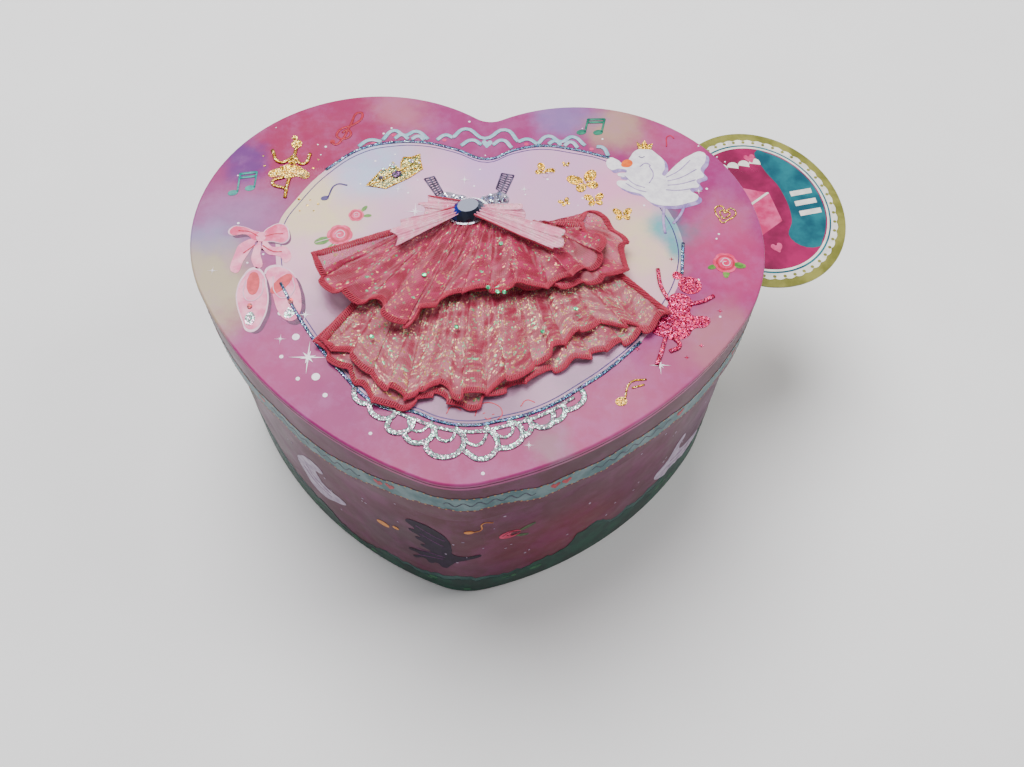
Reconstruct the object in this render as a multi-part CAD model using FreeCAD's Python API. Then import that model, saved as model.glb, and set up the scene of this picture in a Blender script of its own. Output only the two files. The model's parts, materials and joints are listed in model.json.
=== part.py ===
"""Heart-shaped wind-up music box in paper-covered board, in millimetres.

The box is a heart-shaped wall on a flat base, closed by a deep lid: a board on a rim that stands a little
outside the wall and swings on two small hinges at the backs of the lobes. A tiny dress of gathered cloth with
a stone and a bow lies on the lid.
Inside are a jewellery well, a ring well with foam rolls, and a movement bay under a deck. A spring-wound
comb movement stands in the bay: its key comes out of the back, and its pinned cylinder stands upright so that
its arbor also turns the dancer on the deck. An oval card tag is tucked between the wall and the lid.

Frame: +Z up, +X right, the heart's point towards -Y. The origin is on the underside of the base, in the
middle of the lid's width and depth.
"""
import FreeCAD
import Part
import math
import os

V = FreeCAD.Vector

# ---- driving dimensions -------------------------------------------------------------------------------------
# heart outline of the lid
LID_WIDTH = 180.0
LOBE_RADIUS = 56.5
SIDE_RADIUS = 131.5
TIP_RADIUS = 28.5
TIP_DROP = 59.3            # from the line of the lobe centres to the centre of the tip's arc
CLEFT_RADIUS = 8.0
# heights
BOX_HEIGHT = 95.0          # table to the lid's top
LID_THICKNESS = 3.0
LID_DEPTH = 25.0           # from the lid's top to the rim's lower edge
LID_GAP = 0.8              # the rim stands this far off the wall, on its hinges and felt dots
BASE_THICKNESS = 2.5
# boards
LID_OVERHANG = 2.0
WALL_THICKNESS = 2.5
LINER_THICKNESS = 0.8
DIVIDER_THICKNESS = 2.0
DIVIDER_TOP = 50.0
BOARD_GAP = 0.2            # fitting gap between boards that are dropped in
LID_EDGE_ROUND = 0.7
# movement bay
BAY_LEFT = -4.0            # left face of the bay's side board
BAY_FRONT = 20.0           # front face of the cross board
DECK_UNDERSIDE = 38.0
DECK_THICKNESS = 2.0
# movement
KEY_HEIGHT = 20.0          # winding shaft's axis above the table
SHAFT_RADIUS = 1.5
RUNNING_GAP = 0.05
GEAR_GAP = 0.2
FACE_TEETH = 30
PINION_TEETH = 20
FACE_RADIUS = 12.0         # drive gear's pitch radius
CYLINDER_RADIUS = 6.0
PIN_LENGTH = 0.4
COMB_TEETH = 18
COMB_PITCH = 0.76
TRAIN_MODULE = 0.7
WHEEL_TEETH = 20
TRAIN_PINION_TEETH = 10
BARREL_RADIUS = 12.0
BARREL_DEPTH = 10.5
KEY_WING_RADIUS = 6.5
KEY_WING_SPREAD = 8.0
# hinge
HINGE_HALF_WIDTH = 7.0
LEAF_THICKNESS = 0.6
KNUCKLE_RADIUS = 1.4
HINGE_PIN_RADIUS = 0.7
KNUCKLE_HALF = 2.2
KNUCKLE_GAP = 0.2
LEAF_HEIGHT = 11.5
# dancer
TURNTABLE_RADIUS = 12.0
DANCER_HEIGHT = 36.0
TUTU_RADIUS = 10.0
# card tag
TAG_LONG = 70.6
TAG_WIDE = 59.8
TAG_CENTRE_X = 96.2
TAG_CENTRE_Y = 53.9
TAG_TILT = 16.8
TAG_THICKNESS = 0.4
# dress
GEM_LONG = 12.0
GEM_WIDE = 9.0
GEM_HEIGHT = 4.0
BEAD_RADIUS = 1.0
LOWER_TIER_HEIGHT = 4.5
UPPER_TIER_HEIGHT = 4.0
RIBBON_THICKNESS = 0.8

# ---- places worked out from them ----------------------------------------------------------------------------
LOBE_X = LID_WIDTH / 2 - LOBE_RADIUS
LOBE_Y = (TIP_DROP + TIP_RADIUS - LOBE_RADIUS) / 2
RIM_BOTTOM = BOX_HEIGHT - LID_DEPTH
WALL_TOP = RIM_BOTTOM - LID_GAP
LID_UNDERSIDE = BOX_HEIGHT - LID_THICKNESS
WALL_OUT = LID_OVERHANG
WALL_IN = WALL_OUT + WALL_THICKNESS
LINER_IN = WALL_IN + LINER_THICKNESS
FITTING = LINER_IN + BOARD_GAP
WALL_BACK = LOBE_Y + LOBE_RADIUS - WALL_OUT
LINING_BACK = LOBE_Y + LOBE_RADIUS - LINER_IN
LINER_TOP = WALL_TOP - BOARD_GAP
DECK_TOP = DECK_UNDERSIDE + DECK_THICKNESS
BAY_X = BAY_LEFT + DIVIDER_THICKNESS
BAY_Y = BAY_FRONT + DIVIDER_THICKNESS
RIM_BACK = LOBE_Y + LOBE_RADIUS
HINGE_Y = RIM_BACK + KNUCKLE_RADIUS + 0.2
HINGE_Z = WALL_TOP + LID_GAP / 2
HINGE_X = LOBE_X


# ---- helpers ------------------------------------------------------------------------------------------------
def box(x0, x1, y0, y1, z0, z1):
    return Part.makeBox(x1 - x0, y1 - y0, z1 - z0, V(x0, y0, z0))


def rod(radius, start, end):
    """A round bar from one point to another."""
    way = end - start
    return Part.makeCylinder(radius, way.Length, start, way)


def ring(outer, inner, start, end):
    return rod(outer, start, end).cut(rod(inner, start, end))


def up(x, y, z):
    return V(x, y, z)


def polygon(points):
    return Part.Face(Part.makePolygon(points + points[:1]))


def circles_meet(centre_a, radius_a, centre_b, radius_b, left):
    """The point where two circles cross, the one with the smaller X if left is true."""
    way = centre_b - centre_a
    reach = way.Length
    along = (radius_a ** 2 - radius_b ** 2 + reach ** 2) / (2 * reach)
    aside = math.sqrt(radius_a ** 2 - along ** 2)
    way = way * (1 / reach)
    normal = V(-way.y, way.x, 0)
    found = [centre_a + way * along + normal * (side * aside) for side in (-1, 1)]
    return min(found, key=lambda p: p.x if left else -p.x)


def heart_outline(inset):
    """The heart's closed outline, set in from the lid's edge: a cleft, two lobes, two sides and a tip, all arcs."""
    lobe = V(LOBE_X, LOBE_Y, 0)
    tip = V(0, LOBE_Y - TIP_DROP, 0)
    side = circles_meet(lobe, SIDE_RADIUS - LOBE_RADIUS, tip, SIDE_RADIUS - TIP_RADIUS, True)
    cleft_reach = LOBE_RADIUS + CLEFT_RADIUS
    cleft = V(0, LOBE_Y + math.sqrt(cleft_reach ** 2 - LOBE_X ** 2), 0)
    lobe_r, side_r = LOBE_RADIUS - inset, SIDE_RADIUS - inset
    tip_r, cleft_r = TIP_RADIUS - inset, CLEFT_RADIUS + inset

    def at(centre, radius, angle):
        return centre + V(math.cos(angle), math.sin(angle), 0) * radius

    def heading(start, end):
        return math.atan2(end.y - start.y, end.x - start.x)

    into_cleft = heading(cleft, lobe)
    out_of_cleft = into_cleft + math.pi
    onto_side = heading(side, lobe)
    onto_tip = heading(side, tip)
    right = [
        (at(cleft, cleft_r, -math.pi / 2), at(cleft, cleft_r, (into_cleft - math.pi / 2) / 2),
         at(cleft, cleft_r, into_cleft)),
        (at(lobe, lobe_r, out_of_cleft), at(lobe, lobe_r, (out_of_cleft + onto_side) / 2), at(lobe, lobe_r, onto_side)),
        (at(side, side_r, onto_side), at(side, side_r, (onto_side + onto_tip) / 2), at(side, side_r, onto_tip)),
    ]
    edges = [Part.Arc(*stretch).toShape() for stretch in right]
    start, end = at(tip, tip_r, onto_tip), at(tip, tip_r, math.pi - onto_tip)
    edges.append(Part.Arc(start, at(tip, tip_r, -math.pi / 2), end).toShape())
    for stretch in reversed(right):
        mirrored = [V(-p.x, p.y, 0) for p in reversed(stretch)]
        edges.append(Part.Arc(*mirrored).toShape())
    return Part.Wire(edges)


def heart(inset, z0, z1):
    face = Part.Face(heart_outline(inset))
    face.translate(V(0, 0, z0))
    return face.extrude(V(0, 0, z1 - z0))


def toothed_disc(teeth, pitch_radius, tip_radius, root_radius, thick_pitch, thick_tip, phase):
    """A gear's flat outline in the XY plane, with plain tapered teeth. phase turns it, in tooth pitches."""
    points = []
    for k in range(teeth):
        middle = 2 * math.pi * (k + phase) / teeth
        root_half = 1.25 * thick_pitch / 2 / root_radius
        tip_half = thick_tip / 2 / tip_radius
        for radius, turn in ((root_radius, -root_half), (tip_radius, -tip_half),
                             (tip_radius, tip_half), (root_radius, root_half)):
            points.append(V(radius * math.cos(middle + turn), radius * math.sin(middle + turn), 0))
    return polygon(points)


def train_gear(teeth, x, y, z0, z1, bore, phase):
    """One spur gear of the governor train on an upright arbor."""
    pitch_radius = TRAIN_MODULE * teeth / 2
    thickness = 0.40 * math.pi * TRAIN_MODULE
    face = toothed_disc(teeth, pitch_radius, pitch_radius + 0.75 * TRAIN_MODULE, pitch_radius - TRAIN_MODULE,
                        thickness, 0.5 * thickness, phase)
    solid = face.extrude(V(0, 0, z1 - z0))
    solid.translate(V(x, y, z0))
    return solid.cut(rod(bore, up(x, y, z0), up(x, y, z1)))


PARTS = {}


def keep(name, *shapes):
    PARTS[name] = shapes[0] if len(shapes) == 1 else Part.makeCompound(list(shapes))


# ---- case ---------------------------------------------------------------------------------------------------
KEY_X = LOBE_X
ESCUTCHEON_RADIUS = 7.0
ESCUTCHEON_THICKNESS = 1.0
WALL_KEY_HOLE = SHAFT_RADIUS + 1.0
RIVET_RADIUS = 0.6
RIVET_HEAD_RADIUS = 1.3
RIVET_HEAD_THICKNESS = 0.5
RIVET_SPREAD = 4.5
RIVET_DROP = 7.0           # the rivets' distance from the hinge's axis, up or down


def leaf_band(face_inset):
    """The sleeve just outside a heart wall that the hinge leaves are cut from."""
    reach = 2 * RIVET_DROP
    sleeve = heart(face_inset - LEAF_THICKNESS, HINGE_Z - reach, HINGE_Z + reach)
    return sleeve.cut(heart(face_inset, HINGE_Z - reach, HINGE_Z + reach))


def leaf_rivets(face_inset, z):
    """Two rivets through the back at each hinge's leaf, in a wall whose outer face has this inset."""
    found = []
    band = leaf_band(face_inset)
    for side in (-1, 1):
        for step in (-1, 1):
            x = side * HINGE_X + step * RIVET_SPREAD
            face = LOBE_Y + math.sqrt((LOBE_RADIUS - face_inset) ** 2 - RIVET_SPREAD ** 2) + LEAF_THICKNESS
            shank = rod(RIVET_RADIUS, V(x, face - WALL_THICKNESS - LEAF_THICKNESS, z), V(x, face, z))
            head = rod(RIVET_HEAD_RADIUS, V(x, face, z), V(x, face + RIVET_HEAD_THICKNESS, z))
            found.append(shank.fuse(head.cut(band)).removeSplitter())
    return found


def case_rivets():
    return leaf_rivets(WALL_OUT, HINGE_Z - RIVET_DROP)


def lid_rivets():
    return leaf_rivets(0, HINGE_Z + RIVET_DROP)


def make_case():
    rivets = case_rivets()
    wall = heart(WALL_OUT, 0, WALL_TOP).cut(heart(WALL_IN, 0, WALL_TOP))
    key_hole = rod(WALL_KEY_HOLE, V(KEY_X, WALL_BACK - 8, KEY_HEIGHT), V(KEY_X, WALL_BACK + 8, KEY_HEIGHT))
    wall = wall.cut(key_hole)
    liner = heart(WALL_IN, BASE_THICKNESS, LINER_TOP).cut(heart(LINER_IN, BASE_THICKNESS, LINER_TOP)).cut(key_hole)
    for rivet in rivets:
        wall = wall.cut(rivet)
        liner = liner.cut(rivet)
    keep("case_wall", wall)
    keep("wall_lining", liner)
    keep("case_rivets", *rivets)
    base = heart(WALL_IN, 0, BASE_THICKNESS)
    for x, y in MOVEMENT_SCREWS:
        base = base.cut(rod(SCREW_HEAD_RADIUS + 0.1, up(x, y, 0), up(x, y, SCREW_HEAD_HEIGHT + 0.1)))
        base = base.cut(rod(SCREW_RADIUS + 0.1, up(x, y, 0), up(x, y, BASE_THICKNESS)))
    for x, y in SOUND_HOLES:
        base = base.cut(rod(SOUND_HOLE_RADIUS, up(x, y, 0), up(x, y, BASE_THICKNESS)))
    keep("base_board", base)
    bay = box(BAY_LEFT - BOARD_GAP, LID_WIDTH, BAY_FRONT - BOARD_GAP, LID_WIDTH, 0, BOX_HEIGHT)
    left_half = box(-LID_WIDTH, BAY_LEFT, BAY_FRONT - BOARD_GAP, LID_WIDTH, 0, BOX_HEIGHT)
    floor = heart(FITTING, BASE_THICKNESS, FLOOR_TOP)
    keep("well_floor_lining", floor.cut(bay).cut(left_half))
    escutcheon = rod(ESCUTCHEON_RADIUS, V(KEY_X, WALL_BACK - 1, KEY_HEIGHT),
                     V(KEY_X, WALL_BACK + ESCUTCHEON_THICKNESS, KEY_HEIGHT))
    escutcheon = escutcheon.cut(heart(WALL_OUT, 0, WALL_TOP))
    keep("key_escutcheon", escutcheon.cut(rod(SHAFT_RADIUS + 0.3, V(KEY_X, WALL_BACK - 2, KEY_HEIGHT),
                                              V(KEY_X, WALL_BACK + 3, KEY_HEIGHT))))


# ---- boards inside ------------------------------------------------------------------------------------------
FLOOR_TOP = BASE_THICKNESS + LINER_THICKNESS
RING_SHELF_TOP = 32.0
RING_ROLLS = 4
ROLL_HEIGHT = 11.0
ROLL_GAP = 0.8
DOT_RADIUS = 1.1
DOT_SPREAD = 6.0
SOUND_HOLE_RADIUS = 1.5
SOUND_HOLE_PITCH = 6.0
DECK_HOLE = 3.0
POST_SIDE = 7.0


def make_boards():
    room = heart(FITTING, BASE_THICKNESS, DIVIDER_TOP)
    keep("cross_board", room.common(box(-LID_WIDTH, LID_WIDTH, BAY_FRONT, BAY_Y, BASE_THICKNESS, DIVIDER_TOP)))
    side = box(BAY_LEFT, BAY_X, BAY_Y + BOARD_GAP, LID_WIDTH, BASE_THICKNESS, DIVIDER_TOP)
    keep("bay_side_board", room.common(side))
    bay = box(BAY_X + BOARD_GAP, LID_WIDTH, BAY_Y + BOARD_GAP, LID_WIDTH, 0, BOX_HEIGHT)
    deck = heart(FITTING, DECK_UNDERSIDE, DECK_TOP).common(bay)
    deck = deck.cut(rod(DECK_HOLE, up(CYL_X, CYL_Y, 0), up(CYL_X, CYL_Y, BOX_HEIGHT)))
    deck = deck.cut(rod(STOP_RADIUS + 0.4, up(STOP_X, STOP_Y, 0), up(STOP_X, STOP_Y, BOX_HEIGHT)))
    keep("stage_deck", deck)
    posts = []
    for x, y in ((BAY_X + BOARD_GAP, BAY_Y + BOARD_GAP), (KEY_X + 28.5, BAY_Y + BOARD_GAP), (KEY_X + 32.5, CYL_Y + 5.25)):
        post = box(x, x + POST_SIDE, y, y + POST_SIDE, BASE_THICKNESS, DECK_UNDERSIDE)
        posts.append(post.common(heart(FITTING, 0, BOX_HEIGHT)))
    ring_well = box(-LID_WIDTH, BAY_LEFT - BOARD_GAP, BAY_Y + BOARD_GAP, LID_WIDTH, 0, BOX_HEIGHT)
    shelf_z = RING_SHELF_TOP - DIVIDER_THICKNESS
    keep("ring_shelf", heart(FITTING, shelf_z, RING_SHELF_TOP).common(ring_well))
    for x, y in ((BAY_LEFT - BOARD_GAP - POST_SIDE, BAY_Y + 1), (-70.0, BAY_Y + 1), (-40.0, 52.0)):
        posts.append(box(x, x + POST_SIDE, y, y + POST_SIDE, BASE_THICKNESS, shelf_z))
    keep("support_posts", *posts)
    rolls = []
    front, back = BAY_Y + 1.0, LINING_BACK - 2.0
    roll_width = (back - front) / RING_ROLLS
    for k in range(RING_ROLLS):
        y0, y1 = front + k * roll_width, front + (k + 1) * roll_width - ROLL_GAP
        middle, half = (y0 + y1) / 2, (y1 - y0) / 2
        rounded = rod(half, V(-LID_WIDTH, middle, RING_SHELF_TOP + ROLL_HEIGHT - half),
                      V(BAY_LEFT - 1.0, middle, RING_SHELF_TOP + ROLL_HEIGHT - half))
        square = box(-LID_WIDTH, BAY_LEFT - 1.0, y0, y1, RING_SHELF_TOP, RING_SHELF_TOP + ROLL_HEIGHT - half)
        rolls.append(rounded.fuse(square).common(heart(FITTING + 1.5, RING_SHELF_TOP, BOX_HEIGHT)).removeSplitter())
    keep("ring_rolls", *rolls)
    dots = []
    for side in (-1, 1):
        x = side * DOT_SPREAD
        y = LOBE_Y - TIP_DROP - math.sqrt((TIP_RADIUS - WALL_OUT - WALL_THICKNESS / 2) ** 2 - DOT_SPREAD ** 2)
        dots.append(rod(DOT_RADIUS, up(x, y, WALL_TOP), up(x, y, RIM_BOTTOM - 0.1)))
    keep("felt_dots", *dots)


# ---- lid ----------------------------------------------------------------------------------------------------
MIRROR_WIDTH = 96.0        # glass width; it has the lid's shape
MIRROR_MARGIN = 5.0        # the surround shows this far outside the glass at its widest
PAD_THICKNESS = 1.2
MIRROR_THICKNESS = 1.6


def small_heart(width, z0, z1):
    """A heart of the lid's shape at another width, centred on the lid."""
    face = Part.Face(heart_outline(0))
    face.scale(width / LID_WIDTH)
    face.translate(V(0, 0, z0))
    return face.extrude(V(0, 0, z1 - z0))


def make_lid():
    board = heart(0, LID_UNDERSIDE, BOX_HEIGHT)
    rims = [e for e in board.Edges if e.BoundBox.ZMin > BOX_HEIGHT - 0.01]
    keep("lid_board", board.makeFillet(LID_EDGE_ROUND, rims))
    rim = heart(0, RIM_BOTTOM, LID_UNDERSIDE).cut(heart(WALL_THICKNESS, RIM_BOTTOM, LID_UNDERSIDE))
    rivets = lid_rivets()
    for rivet in rivets:
        rim = rim.cut(rivet)
    keep("lid_rim", rim)
    keep("lid_rivets", *rivets)
    outer, inner = WALL_THICKNESS, WALL_THICKNESS + LINER_THICKNESS
    lining = heart(outer, RIM_BOTTOM + BOARD_GAP, LID_UNDERSIDE).cut(heart(inner, RIM_BOTTOM, LID_UNDERSIDE))
    lining = lining.fuse(heart(inner, LID_UNDERSIDE - LINER_THICKNESS, LID_UNDERSIDE)).removeSplitter()
    keep("lid_lining", lining)
    pad_top = LID_UNDERSIDE - LINER_THICKNESS
    glass_z = pad_top - PAD_THICKNESS - MIRROR_THICKNESS
    pad = small_heart(MIRROR_WIDTH + 2 * MIRROR_MARGIN, glass_z, pad_top)
    keep("mirror_surround", pad.cut(small_heart(MIRROR_WIDTH, glass_z, glass_z + MIRROR_THICKNESS)))
    keep("lid_mirror", small_heart(MIRROR_WIDTH - 2 * BOARD_GAP, glass_z, glass_z + MIRROR_THICKNESS))


# ---- hinges -------------------------------------------------------------------------------------------------
def make_hinges():
    for side, name in ((-1, "left"), (1, "right")):
        x = side * HINGE_X
        x0, x1 = x - HINGE_HALF_WIDTH, x + HINGE_HALF_WIDTH
        axis0, axis1 = V(x0, HINGE_Y, HINGE_Z), V(x1, HINGE_Y, HINGE_Z)
        hole = rod(HINGE_PIN_RADIUS + RUNNING_GAP, axis0 - V(1, 0, 0), axis1 + V(1, 0, 0))
        leaf = leaf_band(WALL_OUT).common(box(x0, x1, 0, LID_WIDTH, HINGE_Z - LEAF_HEIGHT, WALL_TOP - BOARD_GAP))
        for k0, k1 in ((x0, x - KNUCKLE_HALF - KNUCKLE_GAP), (x + KNUCKLE_HALF + KNUCKLE_GAP, x1)):
            leaf = leaf.fuse(rod(KNUCKLE_RADIUS, V(k0, HINGE_Y, HINGE_Z), V(k1, HINGE_Y, HINGE_Z)))
            web = box(k0, k1, WALL_BACK - 0.5, HINGE_Y, HINGE_Z - 2 * KNUCKLE_RADIUS, WALL_TOP - BOARD_GAP)
            leaf = leaf.fuse(web.cut(heart(WALL_OUT, 0, BOX_HEIGHT)))
        leaf = leaf.removeSplitter().cut(hole)
        for rivet in case_rivets():
            leaf = leaf.cut(rivet)
        keep("hinge_case_leaf_" + name, leaf)
        plate_z = HINGE_Z + KNUCKLE_RADIUS + 2 * KNUCKLE_GAP
        lid_leaf = leaf_band(0).common(box(x0, x1, 0, LID_WIDTH, plate_z, HINGE_Z + LEAF_HEIGHT))
        k0, k1 = x - KNUCKLE_HALF, x + KNUCKLE_HALF
        web = box(k0, k1, RIM_BACK - 0.5, HINGE_Y, RIM_BOTTOM + BOARD_GAP, plate_z + 1.0)
        lid_leaf = lid_leaf.fuse(web.cut(heart(0, 0, BOX_HEIGHT)))
        lid_leaf = lid_leaf.fuse(rod(KNUCKLE_RADIUS, V(k0, HINGE_Y, HINGE_Z), V(k1, HINGE_Y, HINGE_Z)))
        lid_leaf = lid_leaf.removeSplitter().cut(rod(HINGE_PIN_RADIUS, axis0, axis1))
        for rivet in lid_rivets():
            lid_leaf = lid_leaf.cut(rivet)
        keep("hinge_lid_leaf_" + name, lid_leaf)
        keep("hinge_pin_" + name, rod(HINGE_PIN_RADIUS, axis0, axis1))


# ---- movement places ----------------------------------------------------------------------------------------
SCREW_RADIUS = 1.2
SCREW_HEAD_RADIUS = 2.6
SCREW_HEAD_HEIGHT = 1.2
PLATE_THICKNESS = 2.0
PLATE_BACK = WALL_BACK - 7.5
PLATE_FRONT = PLATE_BACK - PLATE_THICKNESS
BARREL_FRONT = PLATE_FRONT - BARREL_DEPTH
BARREL_WALL = 0.8
FACE_BACK = BARREL_FRONT - 0.6
FACE_THICKNESS = 2.0
FACE_FRONT = FACE_BACK - FACE_THICKNESS
FACE_TOOTH = 1.6
FACE_TOOTH_WIDE = 0.8
FACE_TOOTH_LONG = 1.6
PINION_RADIUS = FACE_RADIUS * PINION_TEETH / FACE_TEETH
PINION_ADDENDUM = 0.6
CYL_X = KEY_X
CYL_Y = FACE_FRONT - GEAR_GAP - PINION_RADIUS - PINION_ADDENDUM
PINION_Z = KEY_HEIGHT - FACE_RADIUS
FOOT_TOP = BASE_THICKNESS + PLATE_THICKNESS
ARBOR_RADIUS = 1.0
PIVOT_RADIUS = 0.75
WHEEL_Z0 = 29.3
WHEEL_THICKNESS = 1.5
WHEEL_Z1 = WHEEL_Z0 + WHEEL_THICKNESS
SECOND_Z0 = WHEEL_Z1 + 0.7
SECOND_Z1 = SECOND_Z0 + WHEEL_THICKNESS
BRIDGE_Z0 = SECOND_Z1 + 0.7
BRIDGE_Z1 = BRIDGE_Z0 + 1.6
CENTRE_DISTANCE = TRAIN_MODULE * (WHEEL_TEETH + TRAIN_PINION_TEETH) / 2
GOV_X = CYL_X - CENTRE_DISTANCE
GOV_Y = CYL_Y
FAN_ANGLE = math.radians(214.0)
FAN_X = GOV_X + CENTRE_DISTANCE * math.cos(FAN_ANGLE)
FAN_Y = GOV_Y + CENTRE_DISTANCE * math.sin(FAN_ANGLE)
FAN_RADIUS = 6.2
FAN_Z0, FAN_Z1 = 12.0, 26.0
CYLINDER_Z0 = PINION_Z + 3.4
CYLINDER_Z1 = CYLINDER_Z0 + COMB_TEETH * COMB_PITCH + 2.0
STOP_RADIUS = 0.8
STOP_X, STOP_Y = CYL_X - 26.5, CYL_Y + 11.25
STOP_ARM_Z = FAN_Z1 + 0.3 + STOP_RADIUS
GUIDE_Z = DECK_TOP + 1.0
MOVEMENT_SCREWS = ((CYL_X - 19.5, PLATE_FRONT - 4.0), (CYL_X + 20.5, PLATE_FRONT - 4.0), (CYL_X + 12.5, BAY_Y + 9.0))
SOUND_HOLES = [(CYL_X - 24 + i * SOUND_HOLE_PITCH, BAY_FRONT - 12 - j * SOUND_HOLE_PITCH)
               for j in range(2) for i in range(8)]


# ---- movement: winding shaft, drive gear, barrel and key -----------------------------------------------------
KEY_HUB_RADIUS = 3.5
KEY_HUB_LENGTH = 7.0
KEY_WING_THICKNESS = 2.2
KEY_START = WALL_BACK + ESCUTCHEON_THICKNESS + 0.6
SPRING_TURNS = 6
SPRING_STRIP = 0.4


def make_winding():
    tail = V(KEY_X, FACE_FRONT - 0.8, KEY_HEIGHT)
    hub_end = KEY_START + KEY_HUB_LENGTH
    tip = V(KEY_X, hub_end - 1.0, KEY_HEIGHT)
    keep("winding_shaft", rod(SHAFT_RADIUS, tail, tip))
    hub = rod(KEY_HUB_RADIUS, V(KEY_X, KEY_START, KEY_HEIGHT), V(KEY_X, hub_end, KEY_HEIGHT))
    wing_y0, wing_y1 = hub_end - 1.5, hub_end + 2 * KEY_WING_RADIUS - 3.0
    wing_middle = (wing_y0 + wing_y1) / 2 + 0.5
    half = KEY_WING_THICKNESS / 2
    key = hub
    for side in (-1, 1):
        centre = V(KEY_X + side * KEY_WING_SPREAD, wing_middle, KEY_HEIGHT - half)
        wing = Part.makeCylinder(KEY_WING_RADIUS, KEY_WING_THICKNESS, centre, V(0, 0, 1))
        hole = Part.makeCylinder(KEY_WING_RADIUS * 0.38, KEY_WING_THICKNESS, centre, V(0, 0, 1))
        key = key.fuse(wing).cut(hole)
    web = box(KEY_X - KEY_WING_SPREAD * 0.7, KEY_X + KEY_WING_SPREAD * 0.7, wing_y0, wing_middle + 2.0,
              KEY_HEIGHT - half, KEY_HEIGHT + half)
    for side in (-1, 1):
        web = web.cut(Part.makeCylinder(KEY_WING_RADIUS * 0.38, KEY_WING_THICKNESS,
                                        V(KEY_X + side * KEY_WING_SPREAD, wing_middle, KEY_HEIGHT - half), V(0, 0, 1)))
    key = key.fuse(web).removeSplitter().cut(rod(SHAFT_RADIUS, tail, tip))
    keep("winding_key", key)
    gear = rod(FACE_RADIUS + FACE_TOOTH_LONG / 2, V(KEY_X, FACE_FRONT, KEY_HEIGHT), V(KEY_X, FACE_BACK, KEY_HEIGHT))
    tooth = box(-FACE_TOOTH_WIDE / 2, FACE_TOOTH_WIDE / 2, FACE_FRONT - FACE_TOOTH, FACE_FRONT + 0.5,
                -FACE_RADIUS - FACE_TOOTH_LONG / 2 + 0.1, -FACE_RADIUS + FACE_TOOTH_LONG / 2)
    teeth = []
    for k in range(FACE_TEETH):
        copy = tooth.copy()
        copy.rotate(V(0, 0, 0), V(0, 1, 0), 360.0 * (k + 0.5) / FACE_TEETH)
        copy.translate(V(KEY_X, 0, KEY_HEIGHT))
        teeth.append(copy)
    gear = gear.multiFuse(teeth).removeSplitter()
    keep("drive_gear", gear.cut(rod(SHAFT_RADIUS, tail, tip)))


def make_barrel():
    def y_rod(radius, y0, y1):
        return rod(radius, V(KEY_X, y0, KEY_HEIGHT), V(KEY_X, y1, KEY_HEIGHT))

    bore = y_rod(SHAFT_RADIUS + RUNNING_GAP, BARREL_FRONT - 1, PLATE_BACK + 1)
    cover_y = BARREL_FRONT + BARREL_WALL
    cup = y_rod(BARREL_RADIUS, cover_y, PLATE_FRONT).cut(
        y_rod(BARREL_RADIUS - BARREL_WALL, cover_y, PLATE_FRONT - BARREL_WALL))
    keep("spring_barrel", cup.cut(bore))
    keep("barrel_cover", y_rod(BARREL_RADIUS, BARREL_FRONT, cover_y).cut(bore))
    inner, outer = SHAFT_RADIUS + 0.5, BARREL_RADIUS - BARREL_WALL - SPRING_STRIP - 0.1
    y0, y1 = cover_y + 0.5, PLATE_FRONT - BARREL_WALL - 0.5

    def spiral(extra):
        points = []
        steps = 16 * SPRING_TURNS
        for k in range(steps + 1):
            angle = 2 * math.pi * SPRING_TURNS * k / steps
            radius = inner + (outer - inner) * k / steps + extra
            points.append(V(KEY_X + radius * math.cos(angle), y0, KEY_HEIGHT + radius * math.sin(angle)))
        curve = Part.BSplineCurve()
        curve.interpolate(points)
        return curve.toShape(), points[0], points[-1]

    near, near_start, near_end = spiral(0.0)
    far, far_start, far_end = spiral(SPRING_STRIP)
    outline = Part.Wire([near, Part.makeLine(near_end, far_end), far, Part.makeLine(far_start, near_start)])
    keep("mainspring", Part.Face(outline).extrude(V(0, y1 - y0, 0)))


# ---- movement: frame, bridge, comb and screws ----------------------------------------------------------------
COMB_TIP = CYL_X + CYLINDER_RADIUS + PIN_LENGTH + 0.2
COMB_LENGTH = 18.0
COMB_THICKNESS = 0.8
COMB_SOLID = 7.0           # length of the comb's undivided back
COMB_Z0 = CYLINDER_Z0 + 1.0
COMB_Z1 = COMB_Z0 + COMB_TEETH * COMB_PITCH
PILLAR_RADIUS = 2.2
FRAME_X0, FRAME_X1 = CYL_X - 27.5, CYL_X + 28.5
FRAME_FRONT = BAY_Y + 4.0


def pillar_places():
    return ((CYL_X + 18.0, CYL_Y - 8.0), (FAN_X - FAN_RADIUS - 3.0, FAN_Y), (CYL_X - 15.0, PLATE_FRONT - 2.4))


def upright_bore(x, y, z0, z1):
    return rod(PIVOT_RADIUS + RUNNING_GAP, up(x, y, z0), up(x, y, z1))


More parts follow.
